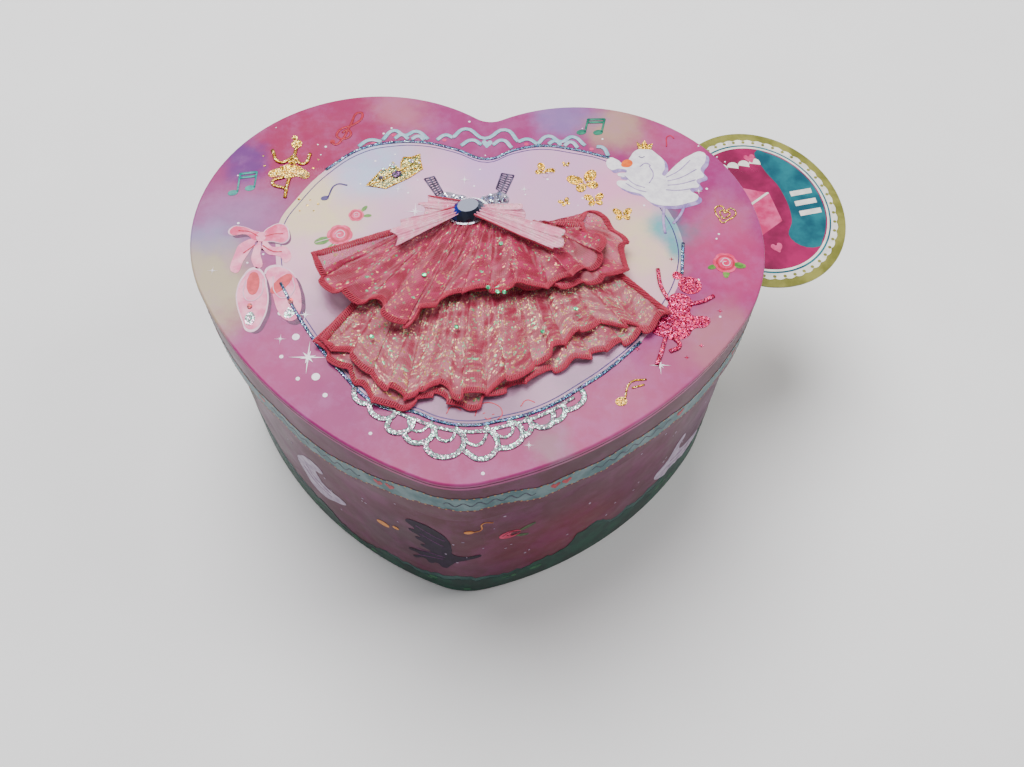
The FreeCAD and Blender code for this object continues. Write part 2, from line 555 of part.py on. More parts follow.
def make_frame():
    foot = box(FRAME_X0, FRAME_X1, FRAME_FRONT, PLATE_BACK, BASE_THICKNESS, FOOT_TOP)
    for x, y in pillar_places():
        foot = foot.fuse(rod(PILLAR_RADIUS + 0.8, up(x, y, BASE_THICKNESS), up(x, y, FOOT_TOP)))
    foot = foot.common(heart(FITTING, 0, BOX_HEIGHT))
    plate = box(KEY_X - 15.0, KEY_X + 15.0, PLATE_FRONT, PLATE_BACK, FOOT_TOP, KEY_HEIGHT + BARREL_RADIUS)
    frame = foot.fuse(plate)
    comb_x0 = COMB_TIP + COMB_LENGTH - COMB_SOLID
    comb_post = box(comb_x0, COMB_TIP + COMB_LENGTH, CYL_Y + COMB_THICKNESS / 2, CYL_Y + COMB_THICKNESS / 2 + 4.0,
                    FOOT_TOP, COMB_Z1)
    frame = frame.fuse(comb_post)
    for x, y in ((CYL_X, CYL_Y), (GOV_X, GOV_Y), (FAN_X, FAN_Y)):
        frame = frame.fuse(rod(2.0, up(x, y, FOOT_TOP), up(x, y, FOOT_TOP + 1.2)))
    for x, y in pillar_places():
        frame = frame.fuse(rod(PILLAR_RADIUS, up(x, y, FOOT_TOP), up(x, y, BRIDGE_Z0)))
    frame = frame.removeSplitter()
    for x, y in ((CYL_X, CYL_Y), (GOV_X, GOV_Y), (FAN_X, FAN_Y)):
        frame = frame.cut(upright_bore(x, y, FOOT_TOP - 0.8, FOOT_TOP + 2))
    for x, y in MOVEMENT_SCREWS:
        frame = frame.cut(rod(SCREW_RADIUS, up(x, y, 0), up(x, y, FOOT_TOP)))
    frame = frame.cut(rod(SHAFT_RADIUS + RUNNING_GAP, V(KEY_X, PLATE_FRONT - 1, KEY_HEIGHT),
                          V(KEY_X, PLATE_BACK + 1, KEY_HEIGHT)))
    comb_screws, bridge_screws = make_comb_screws(), make_bridge_screws()
    for screw in comb_screws + bridge_screws:
        frame = frame.cut(screw)
    keep("movement_frame", frame)
    keep("comb_screws", *comb_screws)
    keep("bridge_screws", *bridge_screws)
    comb = box(COMB_TIP, COMB_TIP + COMB_LENGTH, CYL_Y - COMB_THICKNESS / 2, CYL_Y + COMB_THICKNESS / 2,
               COMB_Z0, COMB_Z1)
    slot = COMB_PITCH * 0.3
    for k in range(1, COMB_TEETH):
        z = COMB_Z0 + k * COMB_PITCH
        reach = COMB_LENGTH - COMB_SOLID - 0.2 * (COMB_TEETH - k)
        comb = comb.cut(box(COMB_TIP - 1, COMB_TIP + reach, CYL_Y - 2, CYL_Y + 2, z - slot / 2, z + slot / 2))
    for screw in comb_screws:
        comb = comb.cut(screw)
    keep("comb", comb)
    keep("top_bridge", make_bridge(bridge_screws))
    screws = []
    for x, y in MOVEMENT_SCREWS:
        head = rod(SCREW_HEAD_RADIUS, up(x, y, 0.1), up(x, y, SCREW_HEAD_HEIGHT + 0.1))
        shank = rod(SCREW_RADIUS, up(x, y, 0.1), up(x, y, FOOT_TOP))
        slot = box(x - SCREW_HEAD_RADIUS, x + SCREW_HEAD_RADIUS, y - 0.35, y + 0.35, 0, 0.7)
        screws.append(head.fuse(shank).removeSplitter().cut(slot))
    keep("movement_screws", *screws)


def make_comb_screws():
    screws = []
    x = COMB_TIP + COMB_LENGTH - COMB_SOLID / 2
    for z in (COMB_Z0 + 2.5, COMB_Z1 - 2.5):
        face = CYL_Y - COMB_THICKNESS / 2
        shank = rod(0.9, V(x, face, z), V(x, face + 4.0, z))
        head = rod(1.8, V(x, face - 1.2, z), V(x, face, z))
        slot = box(x - 2, x + 2, face - 1.3, face - 0.7, z - 0.25, z + 0.25)
        screws.append(shank.fuse(head).removeSplitter().cut(slot))
    return screws


def make_bridge_screws():
    screws = []
    for x, y in pillar_places():
        shank = rod(0.9, up(x, y, BRIDGE_Z0 - 3.0), up(x, y, BRIDGE_Z1))
        head = rod(1.8, up(x, y, BRIDGE_Z1), up(x, y, BRIDGE_Z1 + 1.0))
        slot = box(x - 2, x + 2, y - 0.25, y + 0.25, BRIDGE_Z1 + 0.5, BRIDGE_Z1 + 1.2)
        screws.append(shank.fuse(head).removeSplitter().cut(slot))
    return screws


def bar(start, end, half, z0, z1):
    """A flat bar with round ends between two upright axes."""
    way = V(end[0] - start[0], end[1] - start[1], 0)
    side = V(-way.y, way.x, 0) * (half / way.Length)
    a, b = V(start[0], start[1], z0), V(end[0], end[1], z0)
    body = polygon([a + side, b + side, b - side, a - side]).extrude(V(0, 0, z1 - z0))
    for place in (start, end):
        body = body.fuse(rod(half, up(place[0], place[1], z0), up(place[0], place[1], z1)))
    return body


def make_bridge(screws):
    pillars = pillar_places()
    hub = (CYL_X, CYL_Y)
    bridge = bar(pillars[0], hub, 2.4, BRIDGE_Z0, BRIDGE_Z1)
    bridge = bridge.fuse(bar(hub, (GOV_X, GOV_Y), 2.4, BRIDGE_Z0, BRIDGE_Z1))
    bridge = bridge.fuse(bar((GOV_X, GOV_Y), (FAN_X, FAN_Y), 2.4, BRIDGE_Z0, BRIDGE_Z1))
    bridge = bridge.fuse(bar((FAN_X, FAN_Y), pillars[1], 2.4, BRIDGE_Z0, BRIDGE_Z1))
    bridge = bridge.fuse(bar((GOV_X, GOV_Y), pillars[2], 2.4, BRIDGE_Z0, BRIDGE_Z1)).removeSplitter()
    bridge = bridge.cut(rod(ARBOR_RADIUS + RUNNING_GAP, up(CYL_X, CYL_Y, BRIDGE_Z0), up(CYL_X, CYL_Y, BRIDGE_Z1)))
    for x, y in ((GOV_X, GOV_Y), (FAN_X, FAN_Y)):
        bridge = bridge.cut(upright_bore(x, y, BRIDGE_Z0, BRIDGE_Z1))
    for screw in screws:
        bridge = bridge.cut(screw)
    return bridge


# ---- movement: upright train ---------------------------------------------------------------------------------
FIRST_PINION_THICKNESS = 2.0
TRACK_PINS = 3


def make_cylinder():
    spindle_top = DECK_TOP + 2.4
    low = rod(PIVOT_RADIUS, up(CYL_X, CYL_Y, FOOT_TOP), up(CYL_X, CYL_Y, FOOT_TOP + 1.6))
    main = rod(ARBOR_RADIUS, up(CYL_X, CYL_Y, FOOT_TOP + 1.4), up(CYL_X, CYL_Y, spindle_top))
    keep("cylinder_arbor", low.fuse(main).removeSplitter())
    pitch = 2 * math.pi * PINION_RADIUS / PINION_TEETH
    face = toothed_disc(PINION_TEETH, PINION_RADIUS, PINION_RADIUS + PINION_ADDENDUM, PINION_RADIUS - 1.3,
                        0.34 * pitch, 0.22 * pitch, PINION_TEETH / 4)
    z0 = PINION_Z - FIRST_PINION_THICKNESS / 2
    pinion = face.extrude(V(0, 0, FIRST_PINION_THICKNESS))
    pinion.translate(V(CYL_X, CYL_Y, z0))
    arbor = rod(ARBOR_RADIUS, up(CYL_X, CYL_Y, 0), up(CYL_X, CYL_Y, spindle_top))
    keep("cylinder_pinion", pinion.cut(arbor))
    drum = rod(CYLINDER_RADIUS, up(CYL_X, CYL_Y, CYLINDER_Z0), up(CYL_X, CYL_Y, CYLINDER_Z1))
    pins = []
    for track in range(COMB_TEETH):
        z = COMB_Z0 + (track + 0.5) * COMB_PITCH
        for k in range(TRACK_PINS):
            angle = 2 * math.pi * (k / TRACK_PINS + 0.137 * track + 0.05 * (track * k % 5))
            out = V(math.cos(angle), math.sin(angle), 0)
            middle = up(CYL_X, CYL_Y, z)
            pins.append(rod(0.18, middle + out * (CYLINDER_RADIUS - 0.6), middle + out * (CYLINDER_RADIUS + PIN_LENGTH)))
    keep("music_cylinder", drum.multiFuse(pins).cut(arbor))
    keep("cylinder_wheel", train_gear(WHEEL_TEETH, CYL_X, CYL_Y, WHEEL_Z0, WHEEL_Z1, ARBOR_RADIUS, 0.5))


def upright_arbor(x, y):
    low = rod(PIVOT_RADIUS, up(x, y, FOOT_TOP), up(x, y, FOOT_TOP + 1.6))
    high = rod(PIVOT_RADIUS, up(x, y, BRIDGE_Z0 - 0.4), up(x, y, BRIDGE_Z1))
    return rod(ARBOR_RADIUS, up(x, y, FOOT_TOP + 1.4), up(x, y, BRIDGE_Z0 - 0.3)).fuse(low).fuse(high)


def make_governor():
    keep("governor_arbor", upright_arbor(GOV_X, GOV_Y).removeSplitter())
    keep("governor_pinion", train_gear(TRAIN_PINION_TEETH, GOV_X, GOV_Y, WHEEL_Z0, WHEEL_Z1, ARBOR_RADIUS, 0.0))
    keep("governor_wheel", train_gear(WHEEL_TEETH, GOV_X, GOV_Y, SECOND_Z0, SECOND_Z1, ARBOR_RADIUS, 0.0))
    # the fan's pinion has a gap where the wheel has a tooth
    wheel_turn = FAN_ANGLE / (2 * math.pi) * WHEEL_TEETH
    back = (FAN_ANGLE + math.pi) / (2 * math.pi) * TRAIN_PINION_TEETH
    phase = back + wheel_turn + 0.5
    keep("fan_arbor", upright_arbor(FAN_X, FAN_Y).removeSplitter())
    keep("fan_pinion", train_gear(TRAIN_PINION_TEETH, FAN_X, FAN_Y, SECOND_Z0, SECOND_Z1, ARBOR_RADIUS, phase))
    hub = ring(2.0, ARBOR_RADIUS, up(FAN_X, FAN_Y, FAN_Z0), up(FAN_X, FAN_Y, FAN_Z1))
    blades = box(FAN_X - FAN_RADIUS, FAN_X + FAN_RADIUS, FAN_Y - 0.3, FAN_Y + 0.3, FAN_Z0, FAN_Z1)
    blades = blades.cut(rod(2.0, up(FAN_X, FAN_Y, FAN_Z0), up(FAN_X, FAN_Y, FAN_Z1)))
    keep("governor_fan", hub.fuse(blades).removeSplitter())


def make_stop():
    """The bent wire that the closed lid holds down over the fan."""
    reach = V(FAN_X - 3.0 - STOP_X, FAN_Y - STOP_Y, 0)
    corner = up(STOP_X, STOP_Y, STOP_ARM_Z)
    end = corner + reach * ((reach.Length + 1.5) / reach.Length)
    top = up(STOP_X, STOP_Y, LID_UNDERSIDE - LINER_THICKNESS - 0.3)
    wire = rod(STOP_RADIUS, corner, top).fuse(rod(STOP_RADIUS, corner, end))
    wire = wire.fuse(Part.makeSphere(STOP_RADIUS, corner)).fuse(
        rod(1.6, top - V(0, 0, 1.2), top)).removeSplitter()
    keep("stop_wire", wire)
    guide = ring(2.2, STOP_RADIUS + RUNNING_GAP + 0.05, up(STOP_X, STOP_Y, GUIDE_Z), up(STOP_X, STOP_Y, GUIDE_Z + 4.0))
    arm = box(BAY_X, STOP_X - 1.6, STOP_Y - 1.5, STOP_Y + 1.5, GUIDE_Z, GUIDE_Z + 4.0)
    keep("stop_guide", guide.fuse(arm).removeSplitter())


# ---- dancer --------------------------------------------------------------------------------------------------
def make_dancer():
    z = DECK_TOP + 1.0
    arbor = rod(ARBOR_RADIUS, up(CYL_X, CYL_Y, 0), up(CYL_X, CYL_Y, DECK_TOP + 2.4))
    disc = rod(TURNTABLE_RADIUS, up(CYL_X, CYL_Y, z), up(CYL_X, CYL_Y, z + 2.0))
    disc = disc.makeFillet(0.5, [e for e in disc.Edges if abs(e.BoundBox.ZLength) < 1e-6])
    keep("turntable", disc.cut(arbor))
    foot = z + 2.0
    spring_top = foot + 5.0
    helix = Part.makeHelix(1.0, spring_top - foot - 0.6, 1.5)
    helix.translate(up(CYL_X, CYL_Y, foot + 0.3))
    section = Part.Wire(Part.makeCircle(0.28, up(CYL_X + 1.5, CYL_Y, foot + 0.3), V(0, 1, 0)))
    coil = Part.Wire(helix).makePipeShell([section], True, True)
    keep("dancer_spring", coil)
    hips = spring_top + DANCER_HEIGHT * 0.38
    shoulders = spring_top + DANCER_HEIGHT * 0.62
    head = spring_top + DANCER_HEIGHT * 0.76
    legs = Part.makeCone(0.9, 1.9, hips - spring_top, up(CYL_X, CYL_Y, spring_top))
    torso = Part.makeCone(1.7, 2.4, shoulders - hips, up(CYL_X, CYL_Y, hips))
    neck = rod(0.9, up(CYL_X, CYL_Y, shoulders - 0.5), up(CYL_X, CYL_Y, head))
    skull = Part.makeSphere(2.3, up(CYL_X, CYL_Y, head))
    bun = Part.makeSphere(1.2, up(CYL_X, CYL_Y, head + 2.8))
    body = legs.fuse(torso).fuse(neck).fuse(skull).fuse(bun)
    for side in (-1, 1):
        elbow = up(CYL_X + side * 5.0, CYL_Y, head + 0.5)
        hand = up(CYL_X + side * 1.2, CYL_Y, head + 6.5)
        body = body.fuse(rod(0.6, up(CYL_X + side * 1.6, CYL_Y, shoulders - 0.7), elbow))
        body = body.fuse(rod(0.6, elbow, hand)).fuse(Part.makeSphere(0.6, elbow)).fuse(Part.makeSphere(0.6, hand))
    keep("dancer_figure", body.removeSplitter())
    skirt = Part.makeCone(TUTU_RADIUS, 2.4, 3.2, up(CYL_X, CYL_Y, hips - 1.6))
    keep("dancer_tutu", skirt.cut(body))


# ---- card tag ------------------------------------------------------------------------------------------------
def make_tag():
    centre = V(TAG_CENTRE_X, TAG_CENTRE_Y, WALL_TOP + (LID_GAP - TAG_THICKNESS) / 2)
    along = V(-math.sin(math.radians(TAG_TILT)), math.cos(math.radians(TAG_TILT)), 0)
    oval = Part.Ellipse(centre + along * (TAG_LONG / 2), centre + V(along.y, -along.x, 0) * (TAG_WIDE / 2), centre)
    keep("card_tag", Part.Face(Part.Wire(oval.toShape())).extrude(V(0, 0, TAG_THICKNESS)))


# ---- dress on the lid ----------------------------------------------------------------------------------------
GEM_X, GEM_Y = -3.1, 17.5
GEM_TURN = 25.0
GEM_FIT = 0.1
SETTING_RIM = 0.7
SETTING_HEIGHT = 1.2
STONE_BED = BOX_HEIGHT + 5.5


def gem_oval(margin, z):
    """The stone's outline, grown by a margin."""
    centre = V(GEM_X, GEM_Y, z)
    along = V(math.cos(math.radians(GEM_TURN)), math.sin(math.radians(GEM_TURN)), 0)
    across = V(-along.y, along.x, 0)
    oval = Part.Ellipse(centre + along * (GEM_LONG / 2 + margin), centre + across * (GEM_WIDE / 2 + margin), centre)
    return Part.Wire(oval.toShape())


def soft_sheet(points, z0, z1):
    """A plain closed solid with a smooth outline through a few points, cut clear of the stone's setting."""
    curve = Part.BSplineCurve()
    curve.interpolate([V(x, y, z0) for x, y in points], PeriodicFlag=True)
    solid = Part.Face(Part.Wire(curve.toShape())).extrude(V(0, 0, z1 - z0))
    return solid.cut(Part.Face(gem_oval(SETTING_RIM + GEM_FIT, z0)).extrude(V(0, 0, z1 - z0)))


def make_dress():
    mid = BOX_HEIGHT + LOWER_TIER_HEIGHT
    top = mid + UPPER_TIER_HEIGHT
    lower = ((0.0, 8.0), (-22.0, 2.0), (-36.0, -10.0), (-43.0, -28.0), (-25.0, -46.0), (-2.0, -49.0),
             (22.0, -38.0), (48.0, -23.0), (59.0, -12.0), (47.0, 4.0), (24.0, 8.0))
    upper = ((-3.0, 17.0), (-24.0, 11.0), (-46.0, -4.0), (-42.0, -14.0), (-19.0, -25.0), (4.0, -13.0),
             (27.0, -8.0), (46.0, 2.0), (41.0, 19.0), (30.0, 17.0), (14.0, 17.0))
    bow = ((-3.0, 20.0), (-16.0, 17.5), (-24.0, 8.0), (-22.0, 2.0), (-12.0, 9.0), (-2.5, 10.5), (10.0, 12.0),
           (25.0, 6.0), (18.0, 15.0), (10.0, 20.0))
    keep("skirt_lower_tier", soft_sheet(lower, BOX_HEIGHT, mid))
    keep("skirt_upper_tier", soft_sheet(upper, mid, top))
    keep("waist_bow", soft_sheet(bow, top, top + RIBBON_THICKNESS))


def make_trim():
    girdle = STONE_BED + SETTING_HEIGHT
    cup = Part.Face(gem_oval(SETTING_RIM, BOX_HEIGHT)).extrude(V(0, 0, girdle - BOX_HEIGHT))
    keep("gem_setting", cup.cut(Part.Face(gem_oval(0, STONE_BED)).extrude(V(0, 0, SETTING_HEIGHT))))
    table = STONE_BED + GEM_HEIGHT
    stone = Part.makeLoft([gem_oval(0, STONE_BED), gem_oval(0, girdle)], True, True)
    crown = Part.makeLoft([gem_oval(0, girdle), gem_oval(-0.4 * GEM_WIDE / 2, table)], True, True)
    keep("gem_stone", stone.fuse(crown).removeSplitter())
    beads = []
    for x, y in bead_places():
        bead = Part.makeSphere(BEAD_RADIUS, V(x, y, BOX_HEIGHT + 0.4 * BEAD_RADIUS))
        beads.append(bead.cut(box(x - 2, x + 2, y - 2, y + 2, BOX_HEIGHT - 2, BOX_HEIGHT)))
    keep("bodice_beads", *beads)


BEAD_PITCH = 2.5
BEAD_ROWS = ((-12.4, 28.4, 3), (-12.8, 25.9, 4), (-11.7, 23.4, 1), (0.9, 28.3, 4), (2.3, 25.8, 2))


def bead_places():
    """The two bead panels of the bodice: rows from the straps down to the stone. A row is X, Y and a count."""
    return [(x + k * BEAD_PITCH, y + 0.1 * k) for x, y, count in BEAD_ROWS for k in range(count)]


# ---- build ---------------------------------------------------------------------------------------------------
make_case()
make_boards()
make_lid()
make_hinges()
make_winding()
make_barrel()
make_frame()
make_cylinder()
make_governor()
make_stop()
make_dancer()
make_tag()
make_dress()
make_trim()

os.makedirs("parts", exist_ok=True)
for name, shape in PARTS.items():
    if not shape.isValid() or any(s.Volume <= 0 for s in shape.Solids) or not shape.Solids:
        print("check", name, shape.isValid(), [round(s.Volume, 3) for s in shape.Solids])
    shape.exportStep("parts/" + name + ".step")
print(len(PARTS), "nodes written")
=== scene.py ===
"""Looks for the heart-shaped wind-up music box: print, glitter, gathered organza, metals and plastics.

Everything rides on the frame's bodies. Lengths in the lists are millimetres in the frame's axes: +X right,
the heart's point towards -Y, +Z up, the lid's top at 95.
"""
import json
import math
import random

import bmesh
import bpy
from mathutils import Matrix, Vector

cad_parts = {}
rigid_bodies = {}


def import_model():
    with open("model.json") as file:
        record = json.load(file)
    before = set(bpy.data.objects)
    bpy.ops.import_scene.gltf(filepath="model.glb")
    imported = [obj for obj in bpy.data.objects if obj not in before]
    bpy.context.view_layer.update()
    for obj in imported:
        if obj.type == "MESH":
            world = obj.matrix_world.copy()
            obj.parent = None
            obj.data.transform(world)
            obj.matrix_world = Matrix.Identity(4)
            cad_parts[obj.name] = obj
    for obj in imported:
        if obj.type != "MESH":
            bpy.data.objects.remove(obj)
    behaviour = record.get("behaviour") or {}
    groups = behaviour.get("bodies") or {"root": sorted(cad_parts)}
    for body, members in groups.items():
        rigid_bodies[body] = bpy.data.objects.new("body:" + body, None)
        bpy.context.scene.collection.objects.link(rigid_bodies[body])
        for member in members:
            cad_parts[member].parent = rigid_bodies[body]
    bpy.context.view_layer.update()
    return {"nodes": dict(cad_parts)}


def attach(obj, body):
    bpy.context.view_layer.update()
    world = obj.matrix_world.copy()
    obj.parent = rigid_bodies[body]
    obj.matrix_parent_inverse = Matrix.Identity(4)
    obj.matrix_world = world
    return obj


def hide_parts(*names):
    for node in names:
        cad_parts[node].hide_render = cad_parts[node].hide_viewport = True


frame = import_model()
MM = 0.001
LID_TOP = 95.0

# ---- camera ------------------------------------------------------------------------------------
# It stands over the heart's point and looks steeply down at the lid, rolled by a degree or two.
YAW, PITCH, ROLL = 0.0369, 1.0446, 0.02878
ahead = Vector((-math.sin(YAW) * math.cos(PITCH), math.cos(YAW) * math.cos(PITCH), -math.sin(PITCH)))
level = Vector((math.cos(YAW), math.sin(YAW), 0))
over = level.cross(ahead)
side = math.cos(ROLL) * level + math.sin(ROLL) * over
upright = -math.sin(ROLL) * level + math.cos(ROLL) * over
lens = bpy.data.cameras.new("camera")
lens.lens, lens.sensor_width, lens.clip_start = 34.238, 36.0, 0.01
camera = bpy.data.objects.new("camera", lens)
bpy.context.collection.objects.link(camera)
turn = Matrix((side, upright, -ahead)).transposed().to_4x4()
camera.matrix_world = Matrix.Translation(Vector((19.283, -178.984, 335.734)) * MM) @ turn
lens.dof.use_dof = False
bpy.context.scene.camera = camera


# ---- floor and lights --------------------------------------------------------------------------
# A pale floor that fades out, a large soft light overhead and a little behind, and weak fill from the
# front.
RICHER, DEEPER = 1.2, 1.6


def rgb(red, green, blue):
    """A colour from screen values of 0 to 255, a little richer and deeper to stand up to the soft light."""
    tone = [((v / 255 + 0.055) / 1.055) ** 2.4 if v > 10 else v / 255 / 12.92 for v in (red, green, blue)]
    grey = sum(tone) / 3
    return tuple(max(grey + (v - grey) * RICHER, 0.0) ** DEEPER for v in tone) + (1.0,)


def node(tree, kind, inputs=(), **settings):
    """A shader node with its settings, and its inputs set or linked."""
    made = tree.nodes.new("ShaderNode" + kind)
    for key, value in settings.items():
        setattr(made, key, value)
    for key, value in dict(inputs).items():
        if isinstance(value, bpy.types.NodeSocket):
            tree.links.new(value, made.inputs[key])
        else:
            made.inputs[key].default_value = value
    return made


def mixed(tree, share, first, second, mode="MIX"):
    return node(tree, "Mix", {0: share, 6: first, 7: second}, data_type="RGBA", blend_type=mode).outputs[2]


def number(tree, how, a, b=0.0, clamp=False):
    return node(tree, "Math", {0: a, 1: b}, operation=how, use_clamp=clamp).outputs[0]


def ramp(tree, value, low, high, out_low=0.0, out_high=1.0):
    """A smooth step of a value from one range to another."""
    return node(tree, "MapRange", {0: value, 1: low, 2: high, 3: out_low, 4: out_high},
                interpolation_type="SMOOTHSTEP").outputs[0]


def blank(name, colour=(0.8, 0.8, 0.8, 1.0), rough=0.5, metal=0.0, sheen=0.0, coat=0.0):
    """A new material, its node tree and its main shader."""
    made = bpy.data.materials.new(name)
    made.use_nodes = True
    shader = made.node_tree.nodes["Principled BSDF"]
    for key, value in (("Base Color", colour), ("Roughness", rough), ("Metallic", metal),
                       ("Sheen Weight", sheen), ("Coat Weight", coat)):
        shader.inputs[key].default_value = value
    return made, made.node_tree, shader


def millimetres(tree):
    place = node(tree, "TexCoord").outputs["Object"]
    return node(tree, "VectorMath", {0: place, 1: (1000, 1000, 1000)}, operation="MULTIPLY").outputs[0]


def speckle(tree, where, scale, detail=4.0, rough=0.55):
    return node(tree, "TexNoise", {"Vector": where, "Scale": scale, "Detail": detail, "Roughness": rough})


def bumped(tree, shader, height, distance, strength=1.0):
    """Puts a height, in millimetres of distance, on a shader as bump."""
    bump = node(tree, "Bump", {"Height": height, "Distance": distance * MM, "Strength": strength})
    tree.links.new(bump.outputs[0], shader.inputs["Normal"])


floor_look, tree, shader = blank("floor", rough=0.85)
grain = speckle(tree, millimetres(tree), 0.02)
tree.links.new(mixed(tree, grain.outputs[0], rgb(250, 249, 249), rgb(255, 255, 255)),
               shader.inputs["Base Color"])
bpy.ops.object.select_all(action="DESELECT")
bpy.ops.mesh.primitive_grid_add(x_subdivisions=40, y_subdivisions=40, size=6)
floor = bpy.context.object
floor.name = "floor"
for v in floor.data.vertices:
    v.co.z = -0.0003 + max(0.0, v.co.y - 1.6) ** 2 * 0.8
floor.data.materials.append(floor_look)


def softbox(name, place, aim, size, power, tint=(1.0, 1.0, 1.0)):
    data = bpy.data.lights.new(name, "AREA")
    data.shape, data.size, data.energy, data.color = "DISK", size, power, tint
    lamp = bpy.data.objects.new(name, data)
    bpy.context.collection.objects.link(lamp)
    lamp.location = place
    lamp.rotation_euler = (Vector(aim) - Vector(place)).to_track_quat("-Z", "Y").to_euler()


softbox("overhead", (-0.25, 0.45, 1.25), (0, 0, 0.08), 1.0, 25.0)
softbox("window", (0.9, 0.25, 0.9), (0, 0, 0.08), 0.5, 4.5, (1.0, 0.98, 0.95))
softbox("front_fill", (-0.1, -1.3, 0.8), (0, 0, 0.05), 1.4, 0.8)
world = bpy.data.worlds.new("room")
world.use_nodes = True
world.node_tree.nodes["Background"].inputs[0].default_value = (0.96, 0.97, 1.0, 1.0)
world.node_tree.nodes["Background"].inputs[1].default_value = 0.36
bpy.context.scene.world = world


# ---- printed paper on the lid and the walls ----------------------------------------------------
# Washes of colour that run into each other, each a soft patch round a point, under a thin satin laminate
# with faint creases and a fine paper tooth.
def washed(tree, where, base, patches, spread=13.0):
    drift = speckle(tree, where, 0.05, 6.0, 0.62)
    shift = node(tree, "VectorMath", {0: drift.outputs["Color"], 1: (0.5, 0.5, 0.5)}, operation="SUBTRACT")
    shift = node(tree, "VectorMath", {0: shift.outputs[0], 1: (2 * spread,) * 3}, operation="MULTIPLY")
    run = node(tree, "VectorMath", {0: where, 1: shift.outputs[0]}, operation="ADD").outputs[0]
    colour = base
    for x, y, z, radius, tint, share in patches:
        reach = node(tree, "VectorMath", {0: run, 1: (x, y, z)}, operation="DISTANCE").outputs["Value"]
        colour = mixed(tree, ramp(tree, reach, radius, 0.25 * radius, 0.0, share), colour, rgb(*tint))
    cloud = speckle(tree, where, 0.11, 7.0, 0.68).outputs[0]
    return mixed(tree, ramp(tree, cloud, 0.42, 0.66, 0.0, 0.22), colour, rgb(232, 184, 222))


def laminate(tree, shader, where):
    """Faint creases and tooth for laminated paper."""
    crease = speckle(tree, where, 0.06, 2.0).outputs[0]
    tooth = speckle(tree, where, 2.2, 3.0).outputs[0]
    bumped(tree, shader, number(tree, "ADD", number(tree, "MULTIPLY", crease, 6.0),
                                number(tree, "MULTIPLY", tooth, 0.12)), 0.10)
    tree.links.new(ramp(tree, crease, 0.3, 0.7, 0.36, 0.46), shader.inputs["Roughness"])
    shader.inputs["Specular IOR Level"].default_value = 0.22


LID_WASHES = [
    (-58, 48, 95, 34, (206, 84, 142), 0.95), (-44, 62, 95, 22, (205, 92, 148), 0.8),
    (-30, 66, 95, 16, (233, 180, 190), 0.7), (-80, 40, 95, 13, (150, 104, 178), 0.8),
    (-76, 12, 95, 24, (203, 172, 206), 0.75), (-84, 4, 95, 15, (204, 205, 226), 0.7),
    (-80, -14, 95, 22, (236, 230, 200), 0.9), (-60, -38, 95, 26, (220, 128, 178), 0.7),
    (-36, 2, 95, 18, (232, 150, 186), 0.6), (0, -70, 95, 40, (214, 122, 168), 0.75),
    (40, -50, 95, 28, (226, 150, 182), 0.7), (26, -58, 95, 11, (206, 190, 190), 0.6),
    (44, 63, 95, 18, (232, 212, 190), 0.8), (26, 66, 95, 16, (196, 178, 216), 0.85),
    (62, 58, 95, 16, (226, 140, 178), 0.6), (57, 24, 95, 12, (86, 182, 190), 0.8),
    (66, 18, 95, 10, (98, 186, 190), 0.75), (78, 24, 95, 16, (236, 176, 196), 0.6),
    (80, 8, 95, 24, (228, 128, 172), 0.8), (72, -20, 95, 20, (232, 188, 190), 0.7),
    (56, -36, 95, 18, (228, 162, 186), 0.6), (52, 8, 95, 16, (228, 206, 182), 0.6)]
lid_paper, tree, shader = blank("lid_paper", coat=0.08)
where = millimetres(tree)
colour = mixed(tree, 1.0, washed(tree, where, rgb(204, 112, 168), LID_WASHES), (0.62, 0.58, 0.66, 1.0),
               "MULTIPLY")
tree.links.new(colour, shader.inputs["Base Color"])
laminate(tree, shader, where)

SIDE_WASHES = [
    (30, -50, 30, 34, (186, 44, 118), 0.95), (16, -66, 38, 20, (176, 52, 116), 0.7),
    (-20, -62, 34, 24, (140, 66, 112), 0.8), (-60, -26, 46, 34, (156, 88, 138), 0.7),
    (-30, -60, 60, 20, (172, 92, 140), 0.6), (0, -72, 60, 26, (158, 66, 108), 0.7),
    (56, -40, 50, 22, (172, 92, 138), 0.7), (84, 0, 40, 40, (150, 104, 152), 0.7),
    (-88, 16, 40, 40, (162, 110, 156), 0.7), (-60, 50, 40, 50, (186, 110, 160), 0.8),
    (60, 50, 40, 50, (176, 98, 156), 0.8), (0, -74, 84, 14, (156, 88, 122), 0.7),
    (40, -50, 88, 26, (150, 84, 118), 0.7), (-44, -50, 86, 30, (168, 96, 140), 0.7)]
side_paper, tree, shader = blank("side_paper", coat=0.05)
where = millimetres(tree)
# The multiply by a dark plum is painted shade: it darkens the lid's rim and the case wall, which face away
# from the light overhead.
colour = mixed(tree, 1.0, washed(tree, where, rgb(160, 74, 122), SIDE_WASHES, 9.0), (0.36, 0.10, 0.30, 1.0),
               "MULTIPLY")
tree.links.new(colour, shader.inputs["Base Color"])
laminate(tree, shader, where)


def dress_node(names, material):
    """Gives CAD nodes their finished material."""
    for name in names:
        cad = frame["nodes"][name]
        if not cad.material_slots:
            cad.data.materials.append(material)
        for place in cad.material_slots:
            place.material = material


dress_node(["lid_board"], lid_paper)
dress_node(["lid_rim", "case_wall"], side_paper)


# ---- flat art: how a printed or foiled shape is made -------------------------------------------
# Each shape is a flat curve, made a thin closed mesh and laid on the lid or bent round the heart's wall.
def finished(obj, material, body):
    obj.data.materials.clear()
    obj.data.materials.append(material)
    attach(obj, body)
    return obj


